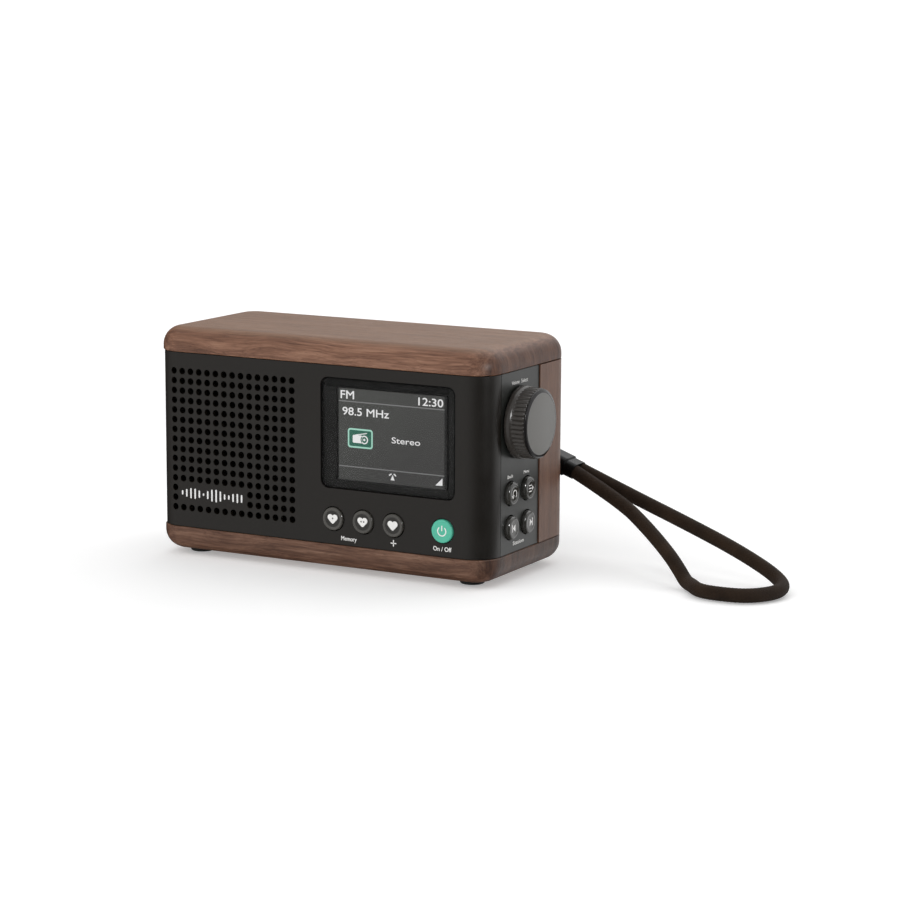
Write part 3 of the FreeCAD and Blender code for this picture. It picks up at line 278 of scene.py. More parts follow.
def walnut(name, upright, level, shade, contrast):
    """Oiled walnut. On the slabs the grain runs along X and turns down over their ends, and on the
    rear piece it stands upright. level is the height that the turned grain starts from,
    shade multiplies the colours and contrast draws them together. On the slabs the top faces are
    drawn greyer and lighter as painted sheen, and the faces that point along X darker as painted
    shade; a shade below 1 is painted shade too."""
    g = Surface(name, Specular_IOR_Level=0.45)
    if upright:
        grain = upright_grain(g)
    else:
        normal = g.split(g.node("ShaderNodeNewGeometry").outputs["Normal"])
        # How much a face points along X: it turns the grain down, and it carries the painted shade of the
        # ends.
        end = g.remap(g.maths("ABSOLUTE", normal[0]), 0.35, 0.90)
        grain = slab_grain(g, level, end)
    grain_axis = 2 if upright else 0

    def stretched(lengthwise, crosswise):
        return tuple(lengthwise if axis == grain_axis else crosswise for axis in range(3))

    drift = g.noise(g.times(grain, stretched(0.5, 0.05)), detail=1.0)
    waves = g.noise(g.times(grain, stretched(1.4, 0.20)), detail=2.0)
    shift = g.weighed((drift, 5.0), (waves, 0.9))
    grain = g.plus(grain, g.times(shift, stretched(0.0, 1.0)))

    broad = g.noise(g.times(grain, stretched(0.5, 0.26)), detail=2.0)
    streaks = g.noise(g.times(grain, stretched(0.9, 1.15)), detail=4.0, roughness=0.65)
    fibres = g.noise(g.times(grain, stretched(1.4, 4.5)), detail=3.0, roughness=0.6)
    tone = g.weighed((broad, 0.36), (streaks, 0.42), (fibres, 0.22))
    colour = g.ramp(tone, [(at, wood_tone(wood, shade, contrast)) for at, wood in WALNUT_TONES])
    if not upright:
        # Painted sheen: top faces drawn greyer and lighter.
        top_sheen = g.remap(normal[2], 0.75, 0.98, 0.0, 0.55)
        top_sheen_tone = tuple(shade * mean * tint for mean, tint in zip(MEAN_TONE, TOP_SHEEN_TINT))
        colour = g.mix(top_sheen, colour, top_sheen_tone)
        # Painted shade: faces that point along X are darkened.
        colour = g.mix(end, colour, g.tinted(colour, END_SHADE_TINT))

    dashes = g.noise(g.times(grain, stretched(3.0, 6.0)), detail=1.0)
    pores = g.remap(dashes, 0.60, 0.72)
    g.set("Base Color", g.mix(pores, colour, g.tinted(colour, PORE_TINT)))
    g.set("Roughness", g.remap(fibres, 0.3, 0.7, 0.36, 0.50))
    g.set("Normal", g.bump(g.weighed((fibres, 0.5), (pores, -0.6)), 0.045))
    return g.material


def moulded(name, colour, roughness, texture=6.0, depth=0.012, mottle=0.12, level=0.5):
    """Moulded plastic or rubber: a spark texture, slightly uneven in tone and gloss. texture is
    how fine it is, depth its relief in millimetres, mottle how uneven the colour is, and level
    how much it mirrors."""
    spread = 0.06
    g = Surface(name, Specular_IOR_Level=level)
    place = g.place()
    patches = g.noise(place, 0.06, detail=3.0)
    specks = g.noise(place, texture, detail=2.0, roughness=0.6)
    tone = g.weighed((patches, 0.6), (specks, 0.4))
    shades = [(0.35, shaded(colour, 1 - mottle)), (0.65, shaded(colour, 1 + mottle))]
    g.set("Base Color", g.ramp(tone, shades))
    g.set("Roughness", g.remap(tone, 0.3, 0.7, roughness - spread, roughness + spread))
    g.set("Normal", g.bump(specks, depth))
    return g.material


def brushed(name, colour, roughness, stretch, depth=0.006):
    """Metal with fine lines along one direction: stretch has a small number for that axis."""
    g = Surface(name, Metallic=1.0)
    lines = g.noise(g.times(g.place(), stretch), 1.0, detail=3.0, roughness=0.7)
    smudges = g.noise(g.place(), 0.12, detail=3.0)
    g.set("Base Color", g.ramp(lines, [(0.3, shaded(colour, 0.86)), (0.7, colour)]))
    uneven = g.weighed((lines, 0.5), (smudges, 0.5))
    g.set("Roughness", g.remap(uneven, 0.3, 0.7, roughness * 0.75, roughness * 1.35))
    g.set("Normal", g.bump(lines, depth))
    return g.material


def woven(name, colour, thread):
    """A plain weave on a flat sheet that faces the front, its threads this many mm apart, drawn darker in
    the hollows between threads as painted shade.
    """
    g = Surface(name, Roughness=0.85, Specular_IOR_Level=0.2)
    place = g.split(g.place())
    warp = g.maths("SINE", g.maths("MULTIPLY", place[0], pi / thread))
    weft = g.maths("SINE", g.maths("MULTIPLY", place[2], pi / thread))
    crossing = g.maths("ABSOLUTE", g.maths("MULTIPLY", warp, weft))
    fuzz = g.noise(g.place(), 9.0, detail=2.0)
    height = g.weighed((crossing, 1.0), (fuzz, 0.5))
    # Painted shade: the lower parts of the weave are drawn darker.
    g.set("Base Color", g.ramp(height, [(0.2, shaded(colour, 0.4)), (1.0, colour)]))
    g.set("Normal", g.bump(height, 0.12))
    return g.material


def printed(name, colour):
    """White print: an ink film, a little uneven in tone."""
    g = Surface(name, Specular_IOR_Level=0.3)
    grain = g.noise(g.place(), 7.0, detail=3.0, roughness=0.7)
    g.set("Base Color", g.ramp(grain, [(0.3, shaded(colour, 0.82)), (0.55, colour)]))
    g.set("Roughness", g.remap(grain, 0.3, 0.7, 0.5, 0.7))
    g.set("Normal", g.bump(grain, 0.01))
    return g.material


def lit(name, first, second):
    """A part of the picture: it glows, going from its first colour to its second towards the
    top left corner."""
    black = (0.004, 0.004, 0.004, 1.0)
    g = Surface(name, Base_Color=black, Specular_IOR_Level=0.1, Emission_Strength=1.0)
    place = g.split(g.place())
    clouds = g.noise(g.place(), 0.035, detail=1.0)
    cornerwards = g.weighed((place[2], 0.7), (place[0], -0.5))
    tone = g.weighed((clouds, 0.4), (g.remap(cornerwards, 0.0, 50.0), 0.6))
    g.set("Emission Color", g.ramp(tone, [(0.2, first), (0.8, second)]))
    g.set("Roughness", g.remap(clouds, 0.3, 0.7, 0.4, 0.5))
    return g.material


def display_glass():
    """Clear glass: mostly see-through, with a faint smear on it."""
    g = Surface("display_glass", Alpha=0.14, Specular_IOR_Level=0.5)
    smear = g.noise(g.place(), 0.11, detail=4.0, roughness=0.65)
    g.set("Base Color", g.ramp(smear, [(0.3, (0.012, 0.012, 0.012)), (0.7, (0.030, 0.030, 0.030))]))
    g.set("Roughness", g.remap(smear, 0.3, 0.7, 0.06, 0.12))
    return g.material


def cord_braid(strands):
    """The cord's skin. Its UV map has the turn round the cord in U and the strands' run in V."""
    g = Surface("cord_braid", Specular_IOR_Level=0.15, Sheen_Weight=0.03, Sheen_Roughness=0.5)
    place = g.split(g.node("ShaderNodeUVMap", uv_map="cord").outputs[0])
    one = g.maths("MULTIPLY", g.maths("ADD", place[0], place[1]), float(strands))
    other = g.maths("MULTIPLY", g.maths("SUBTRACT", place[0], place[1]), float(strands))
    parity = g.maths("ADD", g.maths("FLOOR", one), g.maths("FLOOR", other))
    other_is_over = g.maths("PINGPONG", parity, 1.0)
    threads_per_strand = 5
    lines = [g.maths("SINE", g.maths("MULTIPLY", strand, 2 * pi * threads_per_strand))
             for strand in (one, other)]
    thread = g.between(other_is_over, *lines)
    fuzz = g.noise(g.place(), 3.0, detail=4.0, roughness=0.7)
    fade = g.noise(g.place(), 0.09, detail=2.0)
    # The thread lines darken the grooves between threads, a painted shade; fuzz and fade are tone that
    # differs at random.
    tone = g.weighed((thread, 0.10), (fuzz, 0.5), (fade, 0.5))
    g.set("Base Color", g.ramp(tone, [
        (0.32, (0.012, 0.0066, 0.0038)),
        (0.50, (0.024, 0.0132, 0.0070)),
        (0.72, (0.041, 0.0235, 0.0130)),
    ]))
    g.set("Roughness", g.remap(fuzz, 0.3, 0.7, 0.62, 0.85))
    g.set("Normal", g.bump(g.weighed((thread, 0.35), (fuzz, 1.0)), 0.05))
    return g.material


MATERIALS = {
    "black_shell": moulded("black_shell_skin", (0.0098, 0.0074, 0.0050), 0.34, texture=5.0, depth=0.010,
                           level=0.52),
    "grey_panel": moulded("grey_panel_skin", (0.0200, 0.0215, 0.0190), 0.34, texture=5.0, depth=0.008),
    "knob_grip": moulded("knob_grip_skin", (0.038, 0.033, 0.029), 0.24, texture=4.0, depth=0.004,
                         level=0.6),
    "knob_face": moulded("knob_face_skin", (0.165, 0.161, 0.152), 0.46, texture=4.0, depth=0.006,
                         mottle=0.05),
    "button_grey": moulded("button_grey_skin", (0.034, 0.033, 0.029), 0.12, texture=3.0, depth=0.004,
                           level=1.0),
    "standby_green": moulded("standby_green_skin", (0.095, 0.530, 0.370), 0.34, texture=3.0, depth=0.004,
                             mottle=0.05),
    "display_clear": display_glass(),
    "display_frame": moulded("display_frame_skin", (0.020, 0.020, 0.019), 0.45, depth=0.003, level=0.2),
    "display_panel": moulded("display_panel_skin", (0.030, 0.030, 0.029), 0.45, depth=0.003, level=0.2),
    "rubber": moulded("rubber_skin", (0.012, 0.012, 0.012), 0.7, texture=3.0, depth=0.03, mottle=0.25),
    "chassis_black": moulded("chassis_skin", (0.018, 0.018, 0.018), 0.55),
    "cloth": woven("speaker_cloth_skin", (0.004, 0.004, 0.004), 0.35),
    "speaker_paper": moulded("speaker_paper_skin", (0.02, 0.019, 0.018), 0.85, texture=1.5, depth=0.05),
    "speaker_rubber": moulded("speaker_rubber_skin", (0.012, 0.012, 0.012), 0.6),
    "steel": brushed("steel_skin", (0.42, 0.41, 0.40), 0.34, (6.0, 6.0, 0.6)),
    "chrome": brushed("chrome_skin", (0.74, 0.74, 0.75), 0.12, (0.25, 7.0, 7.0), depth=0.001),
    "aerial_black": moulded("aerial_black_skin", (0.016, 0.016, 0.016), 0.35, texture=4.0),
    "circuit": moulded("circuit_skin", (0.012, 0.09, 0.035), 0.4, texture=1.2),
    "component_black": moulded("component_skin", (0.012, 0.012, 0.012), 0.45),
    "contact": brushed("contact_skin", (0.75, 0.52, 0.22), 0.25, (0.6, 6.0, 6.0)),
    "battery_wrap": moulded("battery_wrap_skin", (0.03, 0.07, 0.20), 0.3, texture=1.0),
    "ferrule": moulded("ferrule_skin", (0.0016, 0.0022, 0.0019), 0.30, texture=3.0, depth=0.006, level=0.18),
}
WALNUT = {
    "top_cap": walnut("walnut_top", False, CAP_LOW.z / MM, 1.0, 1.0),
    # Painted shade: shade 0.68 darkens the base, which gets less light than the top, and 0.70 the rear
    # piece, whose side faces the dimmer right.
    "bottom_cap": walnut("walnut_base", False, BASE_HIGH.z / MM, 0.68, 1.0),
    "rear_surround": walnut("walnut_rear", True, 0.0, 0.70, 0.4),
}
FRONT_KEY = moulded("front_key_skin", (0.058, 0.054, 0.047), 0.17, texture=3.0, depth=0.006, mottle=0.25,
                    level=1.0)
KEY_DISH = moulded("key_dish_skin", (0.026, 0.024, 0.021), 0.34, texture=5.0, depth=0.006)
KNOB_RIM = moulded("knob_rim_skin", (0.006, 0.005, 0.005), 0.20, texture=4.0, depth=0.002)
# Painted shade: a near-black film that stands for the dark gap round the display window.
GAP_SHADE = moulded("gap_shade_skin", (0.0015, 0.0015, 0.0015), 0.6, depth=0.004, level=0.1)
PRINT_WHITE = printed("print_white", (0.92, 0.91, 0.89))
PRINT_BADGE = printed("print_badge", (0.92, 0.92, 0.91))


def paint_nodes():
    """Gives each CAD node the finish of its slot."""
    for part in frame["record"]["subparts"]:
        node = part["node"]
        finish = WALNUT.get(node) or MATERIALS.get(part["material_slot"])
        if finish is None:
            continue
        for slot in frame["nodes"][node].material_slots:
            slot.material = finish


# ---------------------------------------------------------------- mesh helpers

def add_piece(name, mesh, material, body, smooth=True, sharp_angle=35.0):
    """Puts a mesh in the scene, on a body of the frame."""
    if smooth:
        mesh.polygons.foreach_set("use_smooth", [True] * len(mesh.polygons))
        mesh.set_sharp_from_angle(angle=radians(sharp_angle))
    mesh.materials.clear()
    mesh.materials.append(material)
    piece = bpy.data.objects.new(name, mesh)
    bpy.context.scene.collection.objects.link(piece)
    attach(piece, body)
    return piece


def mesh_from(name, points, faces):
    mesh = bpy.data.meshes.new(name)
    mesh.from_pydata([tuple(point) for point in points], [], faces)
    mesh.update()
    return mesh


def curve_to_mesh(data):
    holder = bpy.data.objects.new("curve_holder", data)
    bpy.context.scene.collection.objects.link(holder)
    bpy.context.view_layer.update()
    mesh = bpy.data.meshes.new_from_object(holder)
    bpy.data.objects.remove(holder)
    bpy.data.curves.remove(data)
    return mesh


def circle(x, y, radius, steps):
    turns = [2 * pi * i / steps for i in range(steps)]
    return [(x + radius * cos(turn), y + radius * sin(turn)) for turn in turns]


def arc(x, y, radius, start, end, steps=8):
    """Points of an arc, its angles in degrees."""
    angles = [radians(start + (end - start) * i / steps) for i in range(steps + 1)]
    return [(x + radius * cos(angle), y + radius * sin(angle)) for angle in angles]


def rounded_box(left, right, low, high, radius, steps=6):
    return (arc(right - radius, high - radius, radius, 0, 90, steps)
            + arc(left + radius, high - radius, radius, 90, 180, steps)
            + arc(left + radius, low + radius, radius, 180, 270, steps)
            + arc(right - radius, low + radius, radius, 270, 360, steps))


def flat_mesh(outlines, thickness):
    """A thin plate with the outlines' shape, holes included, standing on z = 0, in millimetres."""
    data = bpy.data.curves.new("outline", "CURVE")
    data.dimensions = "2D"
    data.fill_mode = "BOTH"
    data.extrude = thickness / 2
    for outline in outlines:
        spline = data.splines.new("POLY")
        spline.points.add(len(outline) - 1)
        for slot, (x, y) in zip(spline.points, outline):
            slot.co = (x, y, 0.0, 1.0)
        spline.use_cyclic_u = True
    mesh = curve_to_mesh(data)
    mesh.transform(Matrix.Translation((0, 0, thickness / 2)))
    return mesh


# The height of capitals in the font's own units, and how much higher each copy of a word lies
# than the one before.
CAPITAL = 0.69
COPY_STEP = 0.004


def text_mesh(words, height, width, thickness, bold=0.035):
    """Words as a thin plate, centred on the origin, with capitals of the height given. Copies
    set apart by bold, in millimetres, and each a little higher, thicken the strokes."""
    data = bpy.data.curves.new("words", "FONT")
    data.body = words
    data.align_x = "CENTER"
    data.extrude = thickness / 2
    data.resolution_u = 4
    mesh = curve_to_mesh(data)
    xs = [vertex.co.x for vertex in mesh.vertices]
    scale_y = height / CAPITAL
    scale_x = width / (max(xs) - min(xs))
    centre = Vector(((max(xs) + min(xs)) / 2, CAPITAL / 2, -thickness / 2))
    mesh.transform(Matrix.Diagonal((scale_x, scale_y, 1, 1)) @ Matrix.Translation(-centre))
    copies = [(mesh.copy(), Matrix.Translation((x, y, COPY_STEP * i)))
              for i, (x, y) in enumerate(circle(0, 0, bold, 6))]
    bpy.data.meshes.remove(mesh)
    return merged("words", copies)


def merged(name, parts):
    """One mesh from several, each with its own place."""
    bm = bmesh.new()
    for mesh, place in parts:
        mesh.transform(place)
        bm.from_mesh(mesh)
        bpy.data.meshes.remove(mesh)
    result = bpy.data.meshes.new(name)
    bm.to_mesh(result)
    bm.free()
    return result


def lathe_mesh(name, profile, place, steps=96):
    """A piece turned about its own Z from (radius, height) pairs in millimetres, then placed."""
    points = []
    rings = []
    for radius, height in profile:
        count = 1 if radius < 1e-6 else steps
        rings.append(range(len(points), len(points) + count))
        for i in range(count):
            turn = 2 * pi * i / steps
            points.append((radius * cos(turn), radius * sin(turn), height))
    faces = []
    for low, high in zip(rings, rings[1:]):
        for i in range(steps):
            after = (i + 1) % steps
            corners = [low[i % len(low)], low[after % len(low)],
                       high[after % len(high)], high[i % len(high)]]
            unique = list(dict.fromkeys(corners))
            if len(unique) > 2:
                faces.append(unique)
    mesh = mesh_from(name, points, faces)
    mesh.transform(place)
    return mesh


# ---------------------------------------------------------------- wrist strap

CORD_RADIUS = 2.9
CORD_STRANDS = 12
CORD_SIDES = 72
CORD_STEP = 0.32
BRAID_RELIEF = 0.16
BRAID_LAY = 2 * pi * CORD_RADIUS * MM
FERRULE_FACE = (79.3822, 43.5, 36.7220)
STRAND_OFFSET = 3.05
CORD_ROUTE = [
    (104.0, 45.0, 27.9),
    (131.0, 39.0, 20.3),
    (157.0, 33.4, 12.3),
    (177.0, 27.5, 4.6),
    (184.5, 13.3, 3.0),
    (176.5, -2.2, 3.0),
    (161.7, -3.7, 3.0),
    (154.1, -1.4, 3.0),
    (148.6, 5.4, 3.0),
    (144.3, 9.4, 3.0),
    (140.3, 11.6, 7.1),
    (133.4, 16.4, 12.1),
    (119.9, 24.8, 19.8),
    (103.9, 34.2, 27.3),
]


def cord_line():
    """Points of the smooth line that the route controls, from one end of the cord to the other."""
    x, y, z = FERRULE_FACE
    route = [(x, y + STRAND_OFFSET, z)] + CORD_ROUTE + [(x, y - STRAND_OFFSET, z)]
    data = bpy.data.curves.new("cord_line", "CURVE")
    data.dimensions = "3D"
    data.resolution_u = 40
    spline = data.splines.new("NURBS")
    spline.points.add(len(route) - 1)
    for slot, point in zip(spline.points, route):
        slot.co = (*case_point(*point), 1.0)
    spline.order_u = 3
    spline.use_endpoint_u = True
    mesh = curve_to_mesh(data)
    line = [vertex.co.copy() for vertex in mesh.vertices]
    bpy.data.meshes.remove(mesh)
    return line


def evenly(line, spacing):
    """The same line with its points a fixed distance apart, and its length."""
    lengths = [0.0]
    for before, after in zip(line, line[1:]):
        lengths.append(lengths[-1] + (after - before).length)
    count = round(lengths[-1] / spacing)
    points = []
    segment = 0
    for i in range(count + 1):
        target = lengths[-1] * i / count
        while segment < len(line) - 2 and lengths[segment + 1] < target:
            segment += 1
        share = (target - lengths[segment]) / (lengths[segment + 1] - lengths[segment])
        points.append(line[segment].lerp(line[segment + 1], min(share, 1.0)))
    return points, lengths[-1]


def braid_height(turn, run):
    """How far a point of the braid stands up, from 0 between strands to 1 on their crowns."""
    one = (turn + run) * CORD_STRANDS
    other = (turn - run) * CORD_STRANDS
    over_first = (math.floor(one) + math.floor(other)) % 2 == 0
    across, along = (one, other) if over_first else (other, one)
    return sin(pi * (across % 1.0)) ** 0.6 * (0.65 + 0.35 * sin(pi * (along % 1.0)))


def cord_rings(line, length):
    """Points in rings round the line, as far out as the braid stands at each."""
    last = len(line) - 1
    reference = Vector((0, 0, 1))
    points = []
    for i, centre in enumerate(line):
        tangent = (line[min(i + 1, last)] - line[max(i - 1, 0)]).normalized()
        reference = (reference - tangent * reference.dot(tangent)).normalized()
        side = tangent.cross(reference)
        run = length * i / last / BRAID_LAY
        for j in range(CORD_SIDES):
            turn = j / CORD_SIDES
            radius = (CORD_RADIUS - BRAID_RELIEF * (1 - braid_height(turn, run))) * MM
            outward = reference * cos(2 * pi * turn) + side * sin(2 * pi * turn)
            points.append(centre + outward * radius)
    return points


def cord_faces(rings):
    """Faces between the rings, and one to close each end."""
    sides = CORD_SIDES
    faces = []
    for ring in range(rings - 1):
        low, high = ring * sides, (ring + 1) * sides
        for j in range(sides):
            after = (j + 1) % sides
            faces.append((low + j, high + j, high + after, low + after))
    faces.append(tuple(range(sides)))
    faces.append(tuple(reversed(range((rings - 1) * sides, rings * sides))))
    return faces


def unroll_cord(mesh, rings, length):
    """The UV map that cord_braid reads."""
    sides = CORD_SIDES
    layer = mesh.uv_layers.new(name="cord")
    for face in mesh.polygons[:(rings - 1) * sides]:
        wraps = face.vertices[2] % sides == 0 and face.vertices[1] % sides == sides - 1
        for loop in face.loop_indices:
            ring, step = divmod(mesh.loops[loop].vertex_index, sides)
            turn = 1.0 if wraps and step == 0 else step / sides
            layer.data[loop].uv = (turn, length * ring / (rings - 1) / BRAID_LAY)


def make_cord():
    line, length = evenly(cord_line(), CORD_STEP * MM)
    mesh = mesh_from("wrist_cord", cord_rings(line, length), cord_faces(len(line)))
    unroll_cord(mesh, len(line), length)
    cord = add_piece("wrist_cord", mesh, cord_braid(CORD_STRANDS), "strap", sharp_angle=60.0)
    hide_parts("strap_cord")


# ---------------------------------------------------------------- push buttons

FILM = 0.03
SIDE_SYMBOL_SCALE = 1.35
KeyShape = namedtuple("KeyShape", "axis radius dish_radius dish rounding")
FRONT_KEYS = KeyShape(axis="front", radius=4.75, dish_radius=3.45, dish=0.30, rounding=0.6)
SIDE_KEYS = KeyShape(axis="side", radius=4.8, dish_radius=3.0, dish=0.15, rounding=1.3)


def key_place(node, axis):
    """Where a key's face stands, and how deep the key is in millimetres."""
    low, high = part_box(node)
    centre = (low + high) / 2
    if axis == "front":
        place = on_front(0, 0)
        place.translation = Vector((centre.x, low.y, centre.z))
        return place, (high.y - low.y) / MM
    place = on_side(0, 0)
    place.translation = Vector((high.x, centre.y, centre.z))
    return place, (high.x - low.x) / MM


def key_mesh(name, shape, place, depth):
    """A cap with a shallow dish, a shoulder and a rounded rim."""
    # Shares of the dish's radius and of its depth.
    dish = [(0.0, 1.0), (0.55, 1.0), (0.85, 0.82), (1.0, 0.45)]
    profile = [(shape.dish_radius * out, -shape.dish * down) for out, down in dish]
    rim = shape.radius - shape.rounding
    profile.append((shape.dish_radius + (rim - shape.dish_radius) * 0.35, -shape.dish * 0.10))
    for angle in range(0, 91, 15):
        turn = radians(angle)
        profile.append((rim + shape.rounding * sin(turn), shape.rounding * cos(turn) - shape.rounding))
    profile += [(shape.radius, -depth), (0.0, -depth)]
    return lathe_mesh(name, profile, place)


def heart():
    """A heart's outline: two round lobes and a blunt point."""
    return (arc(1.05, 0.62, 1.28, -46, 144, 12)
            + arc(-1.05, 0.62, 1.28, 36, 226, 12)
            + arc(0, -1.22, 0.72, 226, 314, 6))


def stroke(x0, y0, x1, y1, width):
    """A straight line with round ends."""
    turn = math.degrees(math.atan2(y1 - y0, x1 - x0))
    return (arc(x0, y0, width / 2, turn + 90, turn + 270)
            + arc(x1, y1, width / 2, turn - 90, turn + 90))


def ring_band(x, y, radius, width, start, end, steps=20):
    """A band along part of a circle."""
    return (arc(x, y, radius + width / 2, start, end, steps)
            + arc(x, y, radius - width / 2, end, start, steps))


def power_symbol(size):
    width = size * 0.24
    return [ring_band(0, 0, size, width, 128, 412), stroke(0, size * 0.15, 0, size * 1.15, width)]


def return_symbol():
    """An arrow that turns back on itself."""
    return [ring_band(0.15, -0.1, 1.15, 0.34, -60, 215),
            [(-1.75, -0.35), (-0.15, -0.35), (-0.95, -1.45)]]


def menu_symbol():
    """Three short lines beside a pointer."""
    lines = [stroke(-1.1, y, 0.35, y, 0.34) for y in (-0.9, 0.0, 0.9)]
    return lines + [[(0.85, -0.75), (1.7, 0.0), (0.85, 0.75)]]


def skip_symbol(direction):
    """A bar and a pointer, towards the side that direction gives."""
    pointer = [(-0.9, 0.0), (0.6, 1.15), (0.6, -1.15)]
    bar = [(-1.35, 1.15), (-0.95, 1.15), (-0.95, -1.15), (-1.35, -1.15)]
    shapes = [pointer, bar]
    if direction > 0:
        shapes = [[(-x, y) for x, y in reversed(shape)] for shape in shapes]
    return shapes


def enlarged(shapes, factor):
    return [[(x * factor, y * factor) for x, y in shape] for shape in shapes]


def make_key(node, body, symbol, shape, slot, finish=None, dark=False):
    """A key's cap and the drawing on it; dark adds a darker disc to its dish."""
    place, depth = key_place(node, shape.axis)
    mesh = key_mesh(f"{node}_cap", shape, place, depth)
    cap = add_piece(f"{node}_cap", mesh, finish or MATERIALS[slot], body, sharp_angle=50.0)
    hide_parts(node)
    floor = -shape.dish
    if dark:
        edge = shape.dish_radius * 0.98
        profile = [(0.0, floor + 0.02), (edge * 0.6, floor + 0.02), (edge, floor / 2)]
        disc = lathe_mesh(f"{node}_dish", profile, place)
        add_piece(f"{node}_dish", disc, KEY_DISH, body)
    drawing = flat_mesh(symbol, FILM)
    drawing.transform(place @ Matrix.Translation((0, 0, floor + 0.04)))
    add_piece(f"{node}_icon", drawing, PRINT_WHITE, body, smooth=False)


def make_front_keys():
    def dot(x):
        return circle(x, 0.2, 0.33, 16)

    hearts = [[heart(), dot(0)], [heart(), dot(-0.62), dot(0.62)], [heart()]]
    for number, symbol in enumerate(hearts, start=1):
        make_key(f"preset_button_{number}", f"preset_key_{number}", symbol, FRONT_KEYS, "button_grey",
                 finish=FRONT_KEY, dark=True)
    make_key("standby_button", "standby_key", power_symbol(1.85), FRONT_KEYS, "standby_green")


def make_side_keys():
    symbols = {
        "back": return_symbol(),
        "menu": menu_symbol(),
        "previous": skip_symbol(-1),
        "next": skip_symbol(1),
    }
    for key, symbol in symbols.items():
        larger = enlarged(symbol, SIDE_SYMBOL_SCALE)
        make_key(f"{key}_button", f"{key}_key", larger, SIDE_KEYS, "button_grey")


# ---------------------------------------------------------------- knob

KNOB_RIDGES = 46
RIDGE_DEPTH = 0.62
STEPS_PER_RIDGE = 12
RIDGE_RADIUS = 14.2
NECK_RADIUS = 13.4
BORE_RADIUS = 3.2
DISC_MARGIN = 1.45
DISC_RECESS = 0.25
RIM_SLOPE = 0.45


def ridged_mesh(name, sections, place):
    """Rings of the knob joined up: each has a height, a radius and how much the ridges show."""
    steps = KNOB_RIDGES * STEPS_PER_RIDGE
    points = []
    for height, radius, share in sections:
        for i in range(steps):
            turn = 2 * pi * i / steps
            wave = 0.5 + 0.5 * cos(turn * KNOB_RIDGES)
            r = radius - (1 - wave ** 0.45) * RIDGE_DEPTH * share
            points.append((r * cos(turn), r * sin(turn), height))
    faces = []
    for ring in range(len(sections) - 1):
        low, high = ring * steps, (ring + 1) * steps
        for i in range(steps):
            after = (i + 1) % steps
            faces.append((low + i, low + after, high + after, high + i))
    mesh = mesh_from(name, points, faces)
    mesh.transform(place)
    return mesh


def grip_sections(start, flange):
    """A plain flange, a band of ridges that fade out at both ends, and a neck."""
    ridge = RIDGE_RADIUS
    return [
        (start, BORE_RADIUS, 0.0), (start, flange - 0.5, 0.0), (start + 0.15, flange - 0.15, 0.0),
        (start + 0.5, flange, 0.0), (3.0, flange - 0.02, 0.0), (3.25, flange - 0.2, 0.0),
        (3.4, ridge + 0.1, 0.0), (3.55, ridge, 0.0), (3.8, ridge, 0.5), (4.1, ridge, 1.0),
        (8.2, ridge, 1.0), (8.5, ridge - 0.04, 1.0), (8.75, ridge - 0.2, 0.8),
        (8.9, ridge - 0.5, 0.3), (8.98, NECK_RADIUS, 0.0),
    ]


def rim_sections(cap_radius, disc_radius, face):
    """The smooth rim, from the neck over its slope to the recess that the cap's disc lies in."""
    outline = [
        (8.98, NECK_RADIUS), (9.06, NECK_RADIUS), (9.12, cap_radius - 0.12), (9.22, cap_radius),
        (face - RIM_SLOPE - 0.08, cap_radius), (face - RIM_SLOPE, cap_radius - 0.06),
        (face - 0.02, disc_radius + 0.16), (face, disc_radius + 0.08), (face, disc_radius),
        (face - DISC_RECESS, disc_radius), (face - DISC_RECESS, 0.0),
    ]
    return [(height, radius, 0.0) for height, radius in outline]


def make_knob():
    """A grip with rounded ridges beside a plain flange, a smooth rim, and the cap's flat disc."""
    low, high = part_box("knob_body")
    cap_low, cap_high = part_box("knob_cap")
    centre = (low + high) / 2
    place = on_side(0, 0)
    place.translation = Vector((SIDE_X, centre.y, centre.z))
    start = (low.x - SIDE_X) / MM
    face = (cap_high.x - SIDE_X) / MM
    flange = (high.z - low.z) / 2 / MM
    cap_radius = (cap_high.z - cap_low.z) / 2 / MM
    disc_radius = cap_radius - DISC_MARGIN

    mesh = ridged_mesh("knob_grip_ridged", grip_sections(start, flange), place)
    piece = add_piece("knob_grip_ridged", mesh, MATERIALS["knob_grip"], "knob", sharp_angle=45.0)
    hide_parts("knob_body")
    mesh = ridged_mesh("knob_rim", rim_sections(cap_radius, disc_radius, face), place)
    add_piece("knob_rim", mesh, KNOB_RIM, "knob", sharp_angle=45.0)

    profile = [(0.0, face - 0.01), (disc_radius - 0.1, face - 0.01), (disc_radius, face - 0.05),
               (disc_radius, face - 0.2), (0.0, face - 0.2)]
    mesh = lathe_mesh("knob_face_disc", profile, place, steps=160)
    disc = add_piece("knob_face_disc", mesh, MATERIALS["knob_face"], "knob", sharp_angle=25.0)
    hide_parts("knob_cap")


# ---------------------------------------------------------------- display

SCREEN = {"left": 8.8, "right": 57.5, "low": 38.5, "high": 76.3}
SCREEN_COLOURS = {
    "field": lit("screen_field", (0.063, 0.062, 0.061), (0.084, 0.086, 0.081)),
    "rule": lit("screen_rule", (0.22, 0.22, 0.22), (0.25, 0.25, 0.25)),
    "words": lit("screen_words", (0.96, 0.96, 0.96), (1.04, 1.04, 1.04)),
    "tile": lit("screen_tile", (0.040, 0.150, 0.105), (0.046, 0.170, 0.120)),
    "tile_edge": lit("screen_tile_edge", (0.42, 0.80, 0.64), (0.48, 0.86, 0.71)),
}
SCREEN_FILM = 0.015
RULE_HEIGHTS = (71.05, 44.5)
RULE_WIDTH = 0.44
